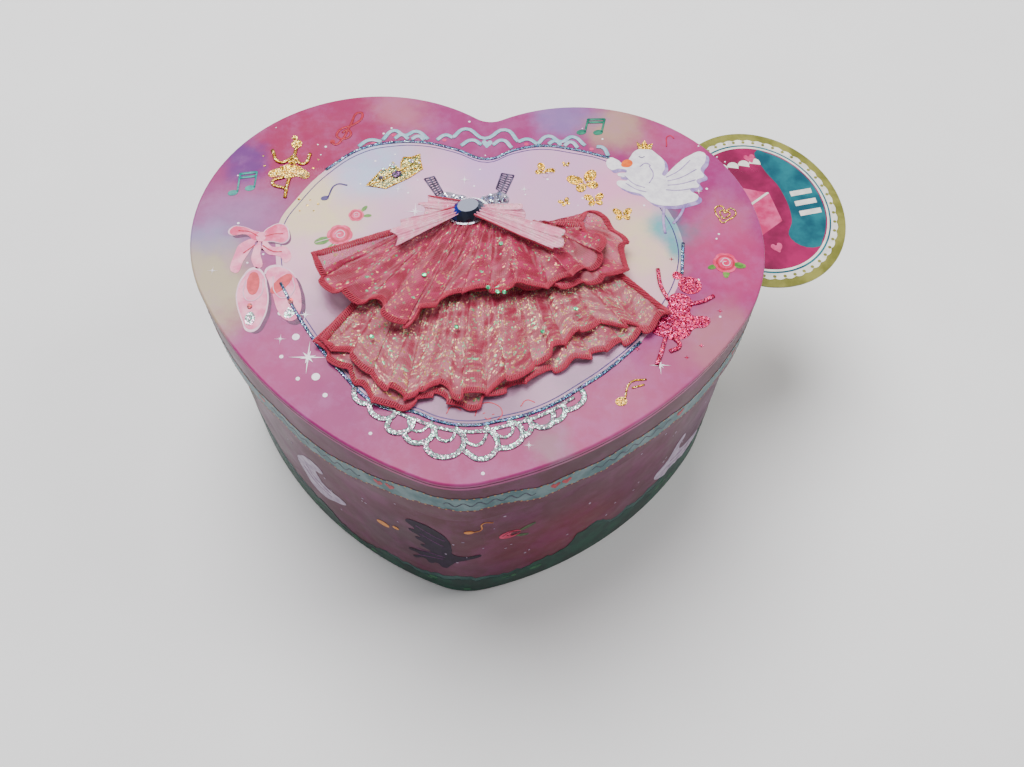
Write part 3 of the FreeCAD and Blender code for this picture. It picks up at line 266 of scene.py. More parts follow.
def sealed(obj):
    """Merges doubled points and turns the faces outwards."""
    shape = bmesh.new()
    shape.from_mesh(obj.data)
    bmesh.ops.remove_doubles(shape, verts=shape.verts, dist=1e-6)
    bmesh.ops.recalc_face_normals(shape, faces=shape.faces)
    shape.to_mesh(obj.data)
    shape.free()


def curve_mesh(name, paths, closed, width=0.0, thick=0.0, sharp=False, detail=5):
    """A mesh from smooth or sharp paths in the XY plane: a filled plate, or a round line with a width."""
    bpy.ops.object.select_all(action="DESELECT")
    curve = bpy.data.curves.new(name, "CURVE")
    curve.dimensions = "3D" if width else "2D"
    if width:
        curve.bevel_depth, curve.bevel_resolution, curve.use_fill_caps = width / 2 * MM, 2, True
    else:
        curve.fill_mode, curve.extrude = "BOTH", thick / 2 * MM
    for path in paths:
        spline = curve.splines.new("BEZIER")
        spline.bezier_points.add(len(path) - 1)
        spline.use_cyclic_u, spline.resolution_u = closed, detail
        for point, place in zip(spline.bezier_points, path):
            point.co = (place[0] * MM, place[1] * MM, 0)
            point.handle_left_type = point.handle_right_type = "VECTOR" if sharp else "AUTO"
    obj = bpy.data.objects.new(name, curve)
    bpy.context.collection.objects.link(obj)
    obj.select_set(True)
    bpy.context.view_layer.objects.active = obj
    bpy.ops.object.convert(target="MESH")
    obj = bpy.context.object
    sealed(obj)
    return obj


def plate(name, outlines, height, material, body="lid", sharp=False, thick=0.05):
    """Filled shapes that lie flat. height is their underside."""
    obj = curve_mesh(name, outlines, True, thick=thick, sharp=sharp)
    for v in obj.data.vertices:
        v.co.z += (height + thick / 2) * MM
    return finished(obj, material, body)


def line(name, paths, height, width, material, closed=False, flat=0.3, body="lid",
         sharp=False):
    """Raised lines that lie flat: a round section pressed down to a share of its height."""
    obj = curve_mesh(name, paths, closed, width=width, sharp=sharp)
    for v in obj.data.vertices:
        v.co.z = v.co.z * flat + (height + width / 2 * flat) * MM
    return finished(obj, material, body)


def oval(x, y, wide, tall, turned=0.0, points=10):
    """An ellipse's points. wide and tall are its half sizes."""
    c, s = math.cos(math.radians(turned)), math.sin(math.radians(turned))
    found = []
    for k in range(points):
        a, b = wide * math.cos(2 * math.pi * k / points), tall * math.sin(2 * math.pi * k / points)
        found.append((x + a * c - b * s, y + a * s + b * c))
    return found


def star(x, y, long, short, points=4, turned=0.0):
    return [(x + (short if k % 2 else long) * math.cos(math.pi * k / points + turned),
             y + (short if k % 2 else long) * math.sin(math.pi * k / points + turned))
            for k in range(2 * points)]


def petal(x, y, length, width, turned):
    """A pointed leaf or petal from its root."""
    c, s = math.cos(math.radians(turned)), math.sin(math.radians(turned))
    shape = ((0, 0), (0.3, 0.75), (0.65, 0.8), (1, 0), (0.65, -0.8), (0.3, -0.75))
    return [(x + length * a * c - width / 2 * b * s, y + length * a * s + width / 2 * b * c)
            for a, b in shape]


def little_heart(x, y, size, turned=0.0):
    c, s = math.cos(math.radians(turned)), math.sin(math.radians(turned))
    shape = ((0, 0.28), (0.22, 0.5), (0.48, 0.36), (0.46, 0.05), (0.2, -0.28), (0, -0.5), (-0.2, -0.28),
             (-0.46, 0.05), (-0.48, 0.36), (-0.22, 0.5))
    return [(x + size * (a * c - b * s), y + size * (a * s + b * c)) for a, b in shape]


def ink(name, colour, other, rough=0.4, scale=0.5, coat=0.1):
    """Printed ink: two tones that run into each other, with the paper's tooth."""
    made, tree, shader = blank(name, rough=rough, coat=coat)
    shader.inputs["Specular IOR Level"].default_value = 0.25
    where = millimetres(tree)
    share = ramp(tree, speckle(tree, where, scale, 5.0).outputs[0], 0.35, 0.65)
    tree.links.new(mixed(tree, share, rgb(*colour), rgb(*other)), shader.inputs["Base Color"])
    bumped(tree, shader, speckle(tree, where, 2.2, 3.0).outputs[0], 0.01)
    return made


def glitter(name, tones, cell=0.38, metal=0.75, rough=0.25, tilt=0.9):
    """Loose glitter under varnish: small cells that each face their own way and have one of a few tones."""
    made, tree, shader = blank(name, rough=rough, metal=metal, coat=0.2)
    where = millimetres(tree)
    cells = node(tree, "TexVoronoi", {"Vector": where, "Scale": 1.0 / cell})
    chance = node(tree, "SeparateColor", {0: cells.outputs["Color"]})
    colour = rgb(*tones[0])
    for k, tone in enumerate(tones[1:]):
        pick = number(tree, "GREATER_THAN", chance.outputs[0],
                      1.0 - (len(tones) - 1 - k) / (len(tones) + 1.0))
        colour = mixed(tree, pick, colour, rgb(*tone))
    tree.links.new(colour, shader.inputs["Base Color"])
    off = node(tree, "VectorMath", {0: cells.outputs["Color"], 1: (0.5, 0.5, 0.5)}, operation="SUBTRACT")
    off = node(tree, "VectorMath", {0: off.outputs[0], 1: (tilt,) * 3}, operation="MULTIPLY")
    way = node(tree, "VectorMath", {0: node(tree, "NewGeometry").outputs["Normal"], 1: off.outputs[0]},
               operation="ADD")
    way = node(tree, "VectorMath", {0: way.outputs[0]}, operation="NORMALIZE")
    tree.links.new(way.outputs[0], shader.inputs["Normal"])
    return made


# ---- medallion ---------------------------------------------------------------------------------
# A pale heart in the middle of the lid, printed on the paper that covers the board. Its edge is a raised
# cord of steel-blue glitter, laid in glue over the print.
MEDALLION = [(0.9, 45.5), (9.1, 50), (18.5, 52.8), (29.2, 51.9), (40.9, 49.1), (51.5, 41), (59, 30),
             (64.4, 15.3), (63.7, 3.1), (59, -9), (51, -22.5), (41.4, -32.8), (35.4, -38), (23, -47.1),
             (11.7, -51.5), (3.9, -53.5), (-5.2, -53), (-13.5, -50.2), (-21.6, -49.6), (-36, -38),
             (-49.6, -22), (-58, -9), (-61.8, 3.7), (-62.7, 13.8), (-59.4, 23), (-51.5, 36.9), (-41.2, 47),
             (-31.4, 50.5), (-21.3, 51.3), (-10.5, 49.2)]
MEDALLION_WASHES_AND_SHADE = [
    (-52, 20, 95, 22, (236, 224, 196), 0.9), (-36, 40, 95, 20, (204, 214, 232), 0.9),
    (0, 46, 95, 24, (222, 196, 228), 0.9), (-14, 36, 95, 14, (236, 208, 226), 0.7),
    (26, 40, 95, 22, (226, 196, 220), 0.8), (44, 34, 95, 16, (238, 190, 214), 0.8),
    (50, 14, 95, 22, (236, 222, 200), 0.9), (56, -10, 95, 20, (238, 208, 214), 0.7),
    # The greyer washes round the bottom, at (-40, -30), (0, -48) and (36, -34), are painted shade under the
    # dress; the rest are print.
    (-56, -2, 95, 16, (240, 206, 216), 0.8), (-40, -30, 95, 24, (190, 158, 176), 0.8),
    (0, -48, 95, 34, (180, 152, 172), 0.9), (36, -34, 95, 22, (192, 170, 186), 0.9),
    (58, 22, 95, 11, (110, 190, 196), 0.9), (62, 14, 95, 7, (92, 182, 190), 0.8)]
medallion_paper, tree, shader = blank("medallion_paper", coat=0.15)
where = millimetres(tree)
tree.links.new(washed(tree, where, rgb(228, 200, 216), MEDALLION_WASHES_AND_SHADE, 8.0), shader.inputs["Base Color"])
laminate(tree, shader, where)
plate("medallion", [MEDALLION], LID_TOP, medallion_paper, thick=0.03)
cord_glitter = glitter("cord_glitter", [(110, 150, 172), (146, 128, 170), (206, 226, 232), (104, 100, 136)],
                       0.28)
# the cord runs behind the slippers, the swan and the magenta dancer
line("medallion_cord", [MEDALLION[25:] + MEDALLION[:5], MEDALLION[7:9], MEDALLION[10:22]], LID_TOP, 1.05,
     cord_glitter, flat=0.35)
violet_ink = ink("violet_ink", (96, 84, 140), (128, 108, 160))
line("medallion_shadow_line", [[(x * 0.972, y * 0.972 - 0.1) for x, y in MEDALLION]], LID_TOP + 0.03, 0.35,
     violet_ink, closed=True, flat=0.1)

# ---- lace at the medallion's top and bottom ----------------------------------------------------
# Printed lace loops at the top in pale teal, and open scallops of silver glitter with mint and pink glints
# below. The loops are flat ink; the glitter stands a little above the paper.
lace_ink = ink("lace_ink", (168, 206, 216), (206, 214, 226))
lace_dark = ink("lace_dark", (104, 112, 150), (120, 130, 166))
TOP_LACE = [
    [(-42.3, 47.9), (-39.1, 51), (-34.9, 50.6)], [(-34.7, 51.3), (-31.5, 55.9), (-27.5, 54), (-24, 56.1),
                                                  (-19.6, 52.8)],
    [(-16.7, 52.7), (-14, 55.2), (-11.5, 54.2)], [(-11.5, 54.2), (-7.6, 58.5), (-0.8, 54.6), (5.8, 59.1),
                                                  (10.4, 54)],
    [(-8.5, 50.8), (-5, 53.6), (-1.6, 51.7)], [(2, 51.9), (5.1, 54.3), (8.5, 51)],
    [(10.4, 54), (13.6, 55.4), (16.9, 53.4)],
    [(16.9, 53.4), (20.4, 57.3), (24.8, 55.1), (28.5, 57.6), (32.8, 53.9)],
    [(36.6, 53.8), (38.6, 53.6), (40.6, 49.9)], [(-30.8, 52.3), (-28.6, 54.2), (-26.2, 52.4)],
    [(-25.2, 52.4), (-23, 54), (-20.9, 52.3)], [(20.5, 53.7), (22.8, 55.3), (24.8, 53.4)],
    [(25.8, 53.3), (28, 55.2), (30.4, 52.7)]]
line("top_lace", TOP_LACE, LID_TOP + 0.02, 1.5, lace_ink, flat=0.12)
line("top_lace_edge", TOP_LACE, LID_TOP + 0.10, 0.35, lace_dark, flat=0.2)
plate("top_lace_dots", [oval(x, y, 0.75, 0.65) for x, y in
                        ((-37.6, 49.6), (-31.3, 53.8), (-23.2, 54.3), (-14.2, 52.9), (13.2, 53.2),
                         (24.9, 53.2), (35, 52.6))],
      LID_TOP + 0.03, ink("rose_ink", (214, 96, 150), (226, 130, 170)))
plate("top_lace_heart", [little_heart(0.1, 52.2, 3.4)], LID_TOP + 0.03, lace_ink)
silver_glitter = glitter("silver_glitter", [(226, 232, 232), (196, 236, 222), (238, 206, 224),
                                            (160, 170, 178)], 0.34)
BOTTOM_LACE = [
    [(-30.5, -43.8), (-29.6, -47.4), (-25.8, -48.7), (-23.4, -46.6)],
    [(-25.8, -48.7), (-23.8, -52.2), (-19.2, -52.8), (-17.6, -50.6)],
    [(-19.2, -52.8), (-19.4, -56.2), (-15.2, -57.1), (-12.8, -55), (-12.9, -52)],
    [(-15.2, -57.1), (-12.4, -59.9), (-8.5, -59.4), (-6.6, -56.6), (-8, -53.2)],
    [(-8.5, -59.4), (-7.7, -62.1), (-3.1, -63.9), (1.2, -61.6), (1.8, -57.6), (-1, -54.6)],
    [(2.1, -61.4), (7.2, -63.8), (11.3, -60.2), (10.6, -56.6), (7.4, -53.6)],
    [(11.3, -60.2), (15.2, -59.4), (18, -56.4), (17, -52.8), (13.6, -51.6)],
    [(18, -56.4), (20.2, -54), (20.2, -51.8), (18.6, -50)],
    [(20.2, -51.8), (23.3, -52.9), (26, -51.4), (26.4, -47.6)],
    [(26, -51.4), (28.4, -49.8), (29.6, -47.2), (28.6, -44.8)],
    [(29.6, -47.2), (33, -45.4), (34.9, -42.4), (34, -39.9)]]
line("bottom_lace", BOTTOM_LACE, LID_TOP + 0.02, 1.7, silver_glitter, flat=0.22)
INNER_LACE = [[(-14.3, -51.9), (-12.9, -55.6), (-10.6, -56.4), (-7.9, -54.2)],
              [(-6.4, -54.6), (-4.9, -58.4), (-1.9, -58.6), (-0.4, -55.2)],
              [(1.6, -55.4), (3.4, -59.2), (6.6, -59.2), (8.2, -55.6)],
              [(9.6, -54.4), (12, -56.6), (14.6, -55.8), (15.4, -52.2)]]
line("inner_lace", INNER_LACE, LID_TOP + 0.02, 1.0, silver_glitter, flat=0.3)
line("bottom_lace_rows", [[(-24, -48.2), (-14, -52.2), (-5, -55), (4, -55.6), (13, -53.2), (23, -49),
                           (32, -42.6)]],
     LID_TOP + 0.02, 1.2, silver_glitter, flat=0.3)

# ---- tiara -------------------------------------------------------------------------------------
# A gold-edged tiara in pale gold and teal glitter, with two dark stones and three silver pearls. The edge
# is foil pressed onto the paper, the rest is glitter glued inside it.
gold_foil = glitter("gold_foil", [(206, 170, 88), (240, 216, 140), (168, 128, 56), (250, 236, 190)], 0.30,
                    0.9, 0.3, 0.7)
tiara_glitter = glitter("tiara_glitter", [(206, 190, 130), (232, 222, 180), (140, 186, 176)], 0.3)
TIARA = [(-37.4, 31.2), (-35.9, 33.6), (-34.5, 36.1), (-32.9, 39), (-31.4, 38.2), (-30.1, 41.9),
         (-28.6, 39.8), (-27.2, 38.7), (-27.4, 42), (-26.8, 44.2), (-24.2, 44.4), (-21.6, 46), (-21.2, 43),
         (-20.1, 39.7), (-24, 35.6), (-30.9, 30.5)]
plate("tiara", [TIARA], LID_TOP + 0.04, tiara_glitter, sharp=True)
line("tiara_edge", [TIARA], LID_TOP + 0.06, 0.55, gold_foil, closed=True, flat=0.5, sharp=True)
line("tiara_band", [[(-37.2, 31.4), (-33, 33.4), (-27, 37.6), (-20.4, 40.6)],
                    [(-34, 34.2), (-30, 36.8), (-24, 40.8)]],
     LID_TOP + 0.08, 0.5, gold_foil, flat=0.4)
plum_stone = glitter("plum_stone", [(78, 40, 86), (140, 90, 150), (40, 24, 50)], 0.5, 0.5, 0.2, 0.5)
plate("tiara_stones", [oval(-28.2, 36.6, 1.7, 1.3, 35), oval(-33.2, 34.8, 0.7, 0.7)], LID_TOP + 0.12,
      plum_stone, thick=0.3)
plate("tiara_pearls", [oval(-30, 40.1, 1.0, 1.0), oval(-24, 42.6, 0.8, 0.8), oval(-32.8, 38.3, 0.6, 0.6)],
      LID_TOP + 0.12, silver_glitter, thick=0.3)

# ---- slippers and their bow --------------------------------------------------------------------
# Pink satin dance slippers with a pale edge and a drop shadow, silver glitter toes and a ribbon bow above.
# Shoes, edge, shadow and bow are printed; the toes are glitter on top of the print.
shadow_ink = ink("shadow_ink", (120, 62, 110), (148, 84, 132))
pale_ink = ink("pale_ink", (244, 222, 232), (236, 206, 222))
satin_ink = ink("satin_ink", (236, 150, 186), (250, 196, 214), 0.3, 0.25)
coral_ink = ink("coral_ink", (206, 70, 96), (226, 104, 124), 0.35)
SLIPPERS = [[(-67, -4.8), (-69.6, -8.5), (-70.2, -13), (-69.6, -16.5), (-66.6, -23.2), (-64.6, -26.2),
             (-62.6, -26), (-61.1, -22.8), (-60.6, -17.1), (-62, -11), (-64.3, -6.0)],
            [(-62.9, -5.2), (-61, -3.4), (-58, -3.6), (-54.8, -5.7), (-52.2, -10), (-50.8, -14.1),
             (-50.3, -19.8), (-51.5, -22.2), (-53.6, -22.4), (-56.6, -19.7), (-59.2, -14.3), (-61.4, -9.4)]]


def grown(shape, by):
    """A shape swelled about its middle."""
    cx, cy = sum(p[0] for p in shape) / len(shape), sum(p[1] for p in shape) / len(shape)
    return [(cx + (x - cx) * by, cy + (y - cy) * by) for x, y in shape]


plate("slipper_shadow", [[(x + 1.5, y - 1.3) for x, y in s] for s in SLIPPERS], LID_TOP + 0.01, shadow_ink)
plate("slipper_edge", [grown(s, 1.09) for s in SLIPPERS], LID_TOP + 0.07, pale_ink)
plate("slippers", SLIPPERS, LID_TOP + 0.13, satin_ink)
plate("slipper_insides", [oval(-66.1, -9.9, 1.9, 4.3, 8), oval(-57.6, -9.4, 1.9, 4.4, -32)], LID_TOP + 0.19,
      coral_ink)
line("slipper_seams", [[(-68.6, -9), (-68, -14.6), (-65.8, -16.4), (-63, -14), (-63.4, -8)],
                       [(-60.6, -7), (-58.8, -13), (-55.8, -14.6), (-53.4, -12), (-54.6, -7)]],
     LID_TOP + 0.19, 0.35, pale_ink)
plate("slipper_toes", [oval(-64.6, -22.6, 1.5, 2.4, 8), oval(-53.2, -19.6, 1.5, 2.2, -24)], LID_TOP + 0.19,
      silver_glitter)
ruby = glitter("ruby", [(158, 30, 62), (216, 80, 104), (110, 16, 44)], 0.5, 0.5, 0.2, 0.4)
plate("slipper_stones", [oval(-65.5, -18.3, 0.75, 0.95), oval(-53.7, -15.6, 0.75, 0.95)], LID_TOP + 0.24,
      ruby, thick=0.25)
RIBBON = [[(-68.2, 6.6), (-72, 8.6), (-76.9, 8.4), (-76.6, 11), (-73.4, 11.4), (-70, 10.2), (-67.6, 9.2)],
          [(-66.6, 9.2), (-65.2, 11.7), (-61.6, 13.3), (-59.2, 10.6), (-59.4, 6.6), (-63.4, 6.6),
           (-66.4, 6.8)]]
TAILS = [[(-68, 6.6), (-72.8, 5), (-73.9, 1.6), (-72.4, -6.4), (-70.8, -1.8), (-69.4, 2.6)],
         [(-67.4, 6.6), (-68.6, 2), (-68.1, -1.8), (-65.4, -4.2), (-66.2, 1.6)],
         [(-66.2, 6.6), (-63, 4.4), (-58.4, 4.4), (-57.4, -1.3), (-60, 0.8), (-64.2, 1.8)]]
plate("ribbon_shadow", [[(x + 1.0, y - 0.9) for x, y in s] for s in RIBBON], LID_TOP + 0.01, shadow_ink)
plate("ribbon_edge", [grown(s, 1.1) for s in RIBBON], LID_TOP + 0.06, pale_ink)
plate("ribbon_tails", TAILS, LID_TOP + 0.07, satin_ink)
ribbon_ink = ink("ribbon_ink", (226, 98, 152), (246, 168, 198), 0.3, 0.3)
plate("ribbon_loops", RIBBON, LID_TOP + 0.13, ribbon_ink)
plate("ribbon_knot", [oval(-67.1, 7.9, 1.5, 1.9)], LID_TOP + 0.19, satin_ink)
line("ribbon_creases", [[(-68, 8), (-71, 9.6), (-74.6, 9.8)], [(-66, 8.2), (-63, 9.4), (-60.6, 9.6)],
                        [(-68.4, 4.6), (-71.4, 1.2)],
                        [(-66, 4.6), (-62.4, 2.6), (-59.6, 2.6)]], LID_TOP + 0.2, 0.3, coral_ink)

# ---- gold dancer, clef, notes and roses on the left --------------------------------------------
# A plain dancer in gold glitter, a crimson clef, teal and violet notes and two roses with leaves. The
# dancer is glitter glued over the print; the clef, notes and roses are flat ink in several tones.
line("gold_dancer_lines", [[(-62.6, 46.4), (-62.7, 42.4), (-62.8, 38.6)],
                           [(-62.9, 41.8), (-66.7, 38.9), (-70.4, 44.2)],
                           [(-62.6, 41.8), (-59.2, 38.8), (-57.6, 43.6)],
                           [(-62.6, 32.8), (-62.8, 28.6), (-62.6, 24.1)],
                           [(-64.4, 32.8), (-67.8, 30.3), (-63, 28)]], LID_TOP + 0.04, 1.15, gold_foil,
     flat=0.4)
plate("gold_dancer", [oval(-62.8, 47.4, 1.7, 1.9), oval(-63.9, 50.2, 0.9, 0.9), oval(-62.8, 40.3, 1.5, 2.3),
                      [(-63.6, 38.4), (-66.6, 36.8), (-69.8, 33.6), (-68.2, 32.4), (-65.8, 33.4),
                       (-63.2, 32.2), (-60.4, 33.4), (-57.6, 32.6), (-56.2, 34), (-59, 36.8),
                       (-62, 38.4)]], LID_TOP + 0.05, gold_foil,
      thick=0.12)
plate("gold_specks", [oval(x, y, r, r, 0, 6) for x, y, r in
                      ((-58, 24, .5), (-55, 21.6, .4), (-52.6, 19.6, .35), (-54.4, 23.8, .3),
                       (-51.6, 22.4, .4), (-57, 19.2, .3), (-71.6, 37.2, .35), (-55.6, 37.4, .35),
                       (-54.6, 41.2, .3), (-72.8, 41.4, .3))],
      LID_TOP + 0.05, gold_foil)
crimson_ink = ink("crimson_ink", (176, 28, 84), (200, 48, 104))
line("clef", [[(-51.4, 49.1), (-50, 48.2), (-48.4, 50), (-46.4, 57), (-43.8, 63.4), (-43, 61), (-45.4, 57.6),
               (-49.6, 54.8), (-50, 51.8), (-47.4, 51), (-45.6, 53), (-47, 55),
               (-48.6, 53.6)]], LID_TOP + 0.04, 0.85,
     crimson_ink, flat=0.1)
plate("clef_dot", [oval(-51.2, 49.4, 0.9, 0.9)], LID_TOP + 0.04, crimson_ink)
teal_ink = ink("teal_ink", (70, 158, 158), (104, 186, 178))
line("teal_notes", [[(-78.2, 25.4), (-78.9, 33.4)], [(-73.2, 27.8), (-73.6, 34.5)]], LID_TOP + 0.04, 0.6,
     teal_ink, flat=0.15)
line("teal_beam", [[(-79, 33), (-73.6, 34.3)], [(-78.8, 31.4), (-73.4, 32.6)]], LID_TOP + 0.04, 1.0, teal_ink,
     flat=0.1)
plate("teal_note_heads", [oval(-79.6, 25, 1.6, 1.1, 20), oval(-74.5, 27.4, 1.6, 1.1, 20)], LID_TOP + 0.05,
      teal_ink)
line("violet_note", [[(-49, 25.4), (-47, 31), (-43.5, 30.9)]], LID_TOP + 0.05, 0.55, violet_ink, flat=0.15)
plate("violet_note_head", [oval(-49.9, 25, 1.3, 0.95, 20)], LID_TOP + 0.06, violet_ink)


def rose(name, x, y, radius, height, light, deep, body="lid"):
    """A rose of overlapping petals that turn inwards, each ring a little higher."""
    for ring, (share, count, tone) in enumerate(((0.62, 6, light), (0.40, 5, deep), (0.2, 3, light))):
        outlines = []
        for k in range(count):
            a = 2 * math.pi * k / count + ring * 0.5
            outlines.append((x + radius * share * math.cos(a), y + radius * share * math.sin(a),
                             math.degrees(a) + 90))
        for k, (px, py, heading) in enumerate(outlines):
            plate(f"{name}_petal_{ring}_{k}", [oval(px, py, radius * 0.48, radius * 0.34, heading, 8)],
                  height + 0.03 * ring + 0.004 * k, tone, body, thick=0.03)
    line(f"{name}_folds", [[(x - radius * 0.4, y), (x, y + radius * 0.42), (x + radius * 0.36, y),
                            (x, y - radius * 0.3), (x - radius * 0.2, y),
                            (x + radius * 0.08, y + radius * 0.12)]], height + 0.13,
         radius * 0.08, pale_ink, flat=0.1, body=body)


rose_light = ink("rose_light", (222, 92, 140), (238, 140, 174))
rose_deep = ink("rose_deep", (198, 52, 108), (214, 80, 128))
leaf_ink = ink("leaf_ink", (112, 156, 92), (160, 186, 122))
rose("rose_big", -42.9, 10.6, 4.2, LID_TOP + 0.06, rose_light, rose_deep)
rose("rose_small", -38.9, 18.8, 2.6, LID_TOP + 0.06, rose_light, rose_deep)
plate("leaves_left", [petal(-45.6, 9, 5.2, 3.4, 205), petal(-44, 7, 4.6, 2.6, 245),
                      petal(-37.4, 20.4, 2.8, 1.6, 60),
                      petal(-36.6, 18.6, 2.6, 1.5, 10)], LID_TOP + 0.045, leaf_ink)
line("leaf_veins", [[(-45.6, 9), (-50, 7)], [(-44, 7), (-45.6, 3.6)]], LID_TOP + 0.09, 0.25, pale_ink,
     flat=0.1)

# ---- swan, notes and butterflies on the right --------------------------------------------------
# A plain white swan with a small crown, green notes, gold foil butterflies and a gold heart outline. The
# swan is printed; the butterflies and the outline are foil pressed onto the paper.
white_ink = ink("white_ink", (236, 232, 238), (250, 248, 250))
lilac_ink = ink("lilac_ink", (176, 158, 200), (206, 190, 220))
SWAN = [(44.4, 44.6), (41.2, 44), (40.9, 49.1), (43.6, 48.4), (46.1, 46.5), (47.6, 49.6), (49.9, 53.2),
        (53.6, 54.2), (57, 51.6), (58.7, 49.5), (59.2, 46), (58.6, 42.6), (60.4, 44.4), (63, 47.8),
        (67, 51.8), (72.1, 53.9), (72.6, 50), (70.9, 46.2), (72, 43.4), (69.4, 41.4), (70.2, 38.8),
        (67.2, 37.4), (69.9, 34.4), (66, 31.4), (59.1, 29.9), (54.4, 31), (51.2, 34.2), (46.8, 35.4),
        (43.4, 38.8), (47.2, 40.2), (43.6, 42), (46.8, 43.6)]
plate("swan_shadow", [[(x + 1.1, y - 1.2) for x, y in SWAN]], LID_TOP + 0.035, lilac_ink)
plate("swan", [SWAN], LID_TOP + 0.09, white_ink)
line("swan_feathers", [[(59.6, 42), (63.2, 44.6), (67.6, 50)], [(60, 40.4), (64, 42), (69.6, 46.2)],
                       [(60, 38.6), (64, 39.4), (69.2, 41.6)], [(59.4, 36.6), (63, 36.6), (67.4, 37.6)],
                       [(52.6, 37), (49, 38.4), (46, 41.6)], [(53, 35.2), (50, 36), (46.4, 38.4)],
                       [(51, 46), (53, 47.6), (54.6, 46.6)], [(54, 39), (55.4, 42.8), (54, 46.6)]],
     LID_TOP + 0.14, 0.35, lilac_ink, flat=0.15)
line("swan_eye", [[(50.6, 50.4), (51.6, 50), (52.6, 50.6)]], LID_TOP + 0.14, 0.3, violet_ink, flat=0.2)
orange_ink = ink("orange_ink", (226, 134, 74), (240, 160, 96))
plate("swan_beak", [[(47.4, 48.8), (44.8, 46.4), (45.4, 45.4), (48.6, 46.8)]], LID_TOP + 0.145, orange_ink)
plate("swan_crown", [[(50.4, 53.8), (49.9, 57), (51.4, 55.8), (52.6, 57.8), (53.6, 55.8), (55.4, 56.6),
                      (54.8, 53.8)]],
      LID_TOP + 0.145, gold_foil, sharp=True)
line("swan_legs", [[(58.7, 29.6), (58.4, 24), (58.9, 18.5)], [(65.5, 31), (63.6, 26), (61.4, 22.7)]],
     LID_TOP + 0.04, 0.9, lilac_ink, flat=0.1)
green_ink = ink("green_ink", (64, 142, 128), (96, 168, 148))
line("green_notes", [[(32.6, 60.2), (33.5, 66.3)], [(38.2, 60.6), (39.2, 66.8)]], LID_TOP + 0.04, 0.7,
     green_ink, flat=0.15)
line("green_beam", [[(33.5, 66), (39.2, 66.6)], [(33.3, 64.6), (39, 65.2)]], LID_TOP + 0.04, 1.0, green_ink,
     flat=0.1)
plate("green_note_heads", [oval(31.4, 60, 1.7, 1.1, 18), oval(37, 60.3, 1.7, 1.1, 18)], LID_TOP + 0.05,
      green_ink)
line("pink_note", [[(59.9, 55.5), (61, 60.7), (62.6, 59.4)]], LID_TOP + 0.04, 0.4, rose_deep, flat=0.15)


def butterfly(x, y, span, turned):
    c, s = math.cos(math.radians(turned)), math.sin(math.radians(turned))
    shapes = ([(0.03, 0.04), (0.2, 0.4), (0.5, 0.42), (0.46, 0.1), (0.1, -0.02)],
              [(0.03, -0.04), (0.34, -0.06), (0.36, -0.32), (0.14, -0.34)])
    found = []
    for shape in shapes:
        for sign in (1, -1):
            found.append([(x + span * (sign * a * c - b * s), y + span * (sign * a * s + b * c))
                          for a, b in shape])
    return found


WINGS = [(33.1, 37.8, 9.5, 24), (36.5, 30.5, 6, 12), (19.5, 41.6, 6, -28), (26.9, 28.9, 3.6, 30),
         (45.5, 25.2, 5.8, 6), (26.7, 45.1, 2.4, 0)]
plate("butterflies", [wing for place in WINGS for wing in butterfly(*place)], LID_TOP + 0.05, gold_foil,
      thick=0.08)
line("gold_heart", [little_heart(77.9, 27.5, 6.6, -14), little_heart(77.9, 27.5, 3.2, -14)], LID_TOP + 0.04,
     0.55, gold_foil, closed=True, flat=0.4)
rose("rose_right", 77.3, 8.4, 4.0, LID_TOP + 0.06, rose_light, rose_deep)
plate("leaves_right", [petal(79.4, 8, 4.2, 2.6, -8), petal(77.6, 6.6, 4, 2.4, -96),
                       petal(74.6, 7, 3, 2, 200)], LID_TOP + 0.045, leaf_ink)

# ---- magenta dancer, gold note and sparkles ----------------------------------------------------
# A plain dancer in magenta glitter at the dress's right, a gold note and white sparkles with long thin
# rays. The sparkles are printed in white over everything else.
magenta_glitter = glitter("magenta_glitter", [(196, 34, 112), (232, 92, 156), (150, 20, 84),
                                              (246, 160, 200)], 0.3, 0.55)
line("magenta_dancer_lines", [[(56.3, 4.5), (57.2, -2), (59.4, -7)], [(66, -8), (70, -6.6), (73.2, -4.4)],
                              [(58.4, -20), (57.2, -25), (55.6, -30.3)],
                              [(60.6, -20.4), (62.4, -23), (59.4, -25.4)]],
     LID_TOP + 0.05, 1.3, magenta_glitter, flat=0.4)
plate("magenta_dancer", [oval(66, -1, 3.6, 3.2), oval(62.2, 2.4, 1.5, 1.5),
                         [(60, -5.2), (64.4, -4.6), (66.6, -7.4), (66, -11.6), (71.6, -12.8), (70.4, -15.8),
                          (66.8, -16.8), (65, -19.6), (61.1, -21.2), (57.6, -20.4), (54.4, -18.6),
                          (55.4, -15), (59, -12)]],
      LID_TOP + 0.06, magenta_glitter, thick=0.12)
plate("magenta_sparks", [star(x, y, r, r * 0.3) for x, y, r in
                         ((50, -25, .9), (68.8, -22.6, .8), (64.4, -27, .8), (74.8, -9.8, .9), (52.8, -8, .7),
                          (60.6, 8.6, .8))],
      LID_TOP + 0.05, magenta_glitter, sharp=True)
line("gold_note", [[(46.4, -42.2), (48, -36.6), (52.6, -35.2)], [(48.4, -38.4), (52, -37)]], LID_TOP + 0.05,
     0.6, gold_foil, flat=0.4)
plate("gold_note_head", [oval(45.4, -43, 1.7, 1.4, 20)], LID_TOP + 0.05, gold_foil, thick=0.1)
spark_ink = ink("spark_ink", (250, 240, 248), (255, 252, 255), 0.4)
SPARKS = [(-45.3, -34.7, 5.6), (56.6, -30.2, 3.2), (-20.5, 21.7, 3.6), (-48.6, -20, 2.4), (-54.4, -29, 1.8),
          (20, -58.6, 1.5), (-6, 36, 2.2), (13.6, 33.4, 1.8), (-27, 30.4, 1.6), (44.4, 12.6, 2),
          (-79.4, -6, 1.6), (70, 36.8, 1.4)]
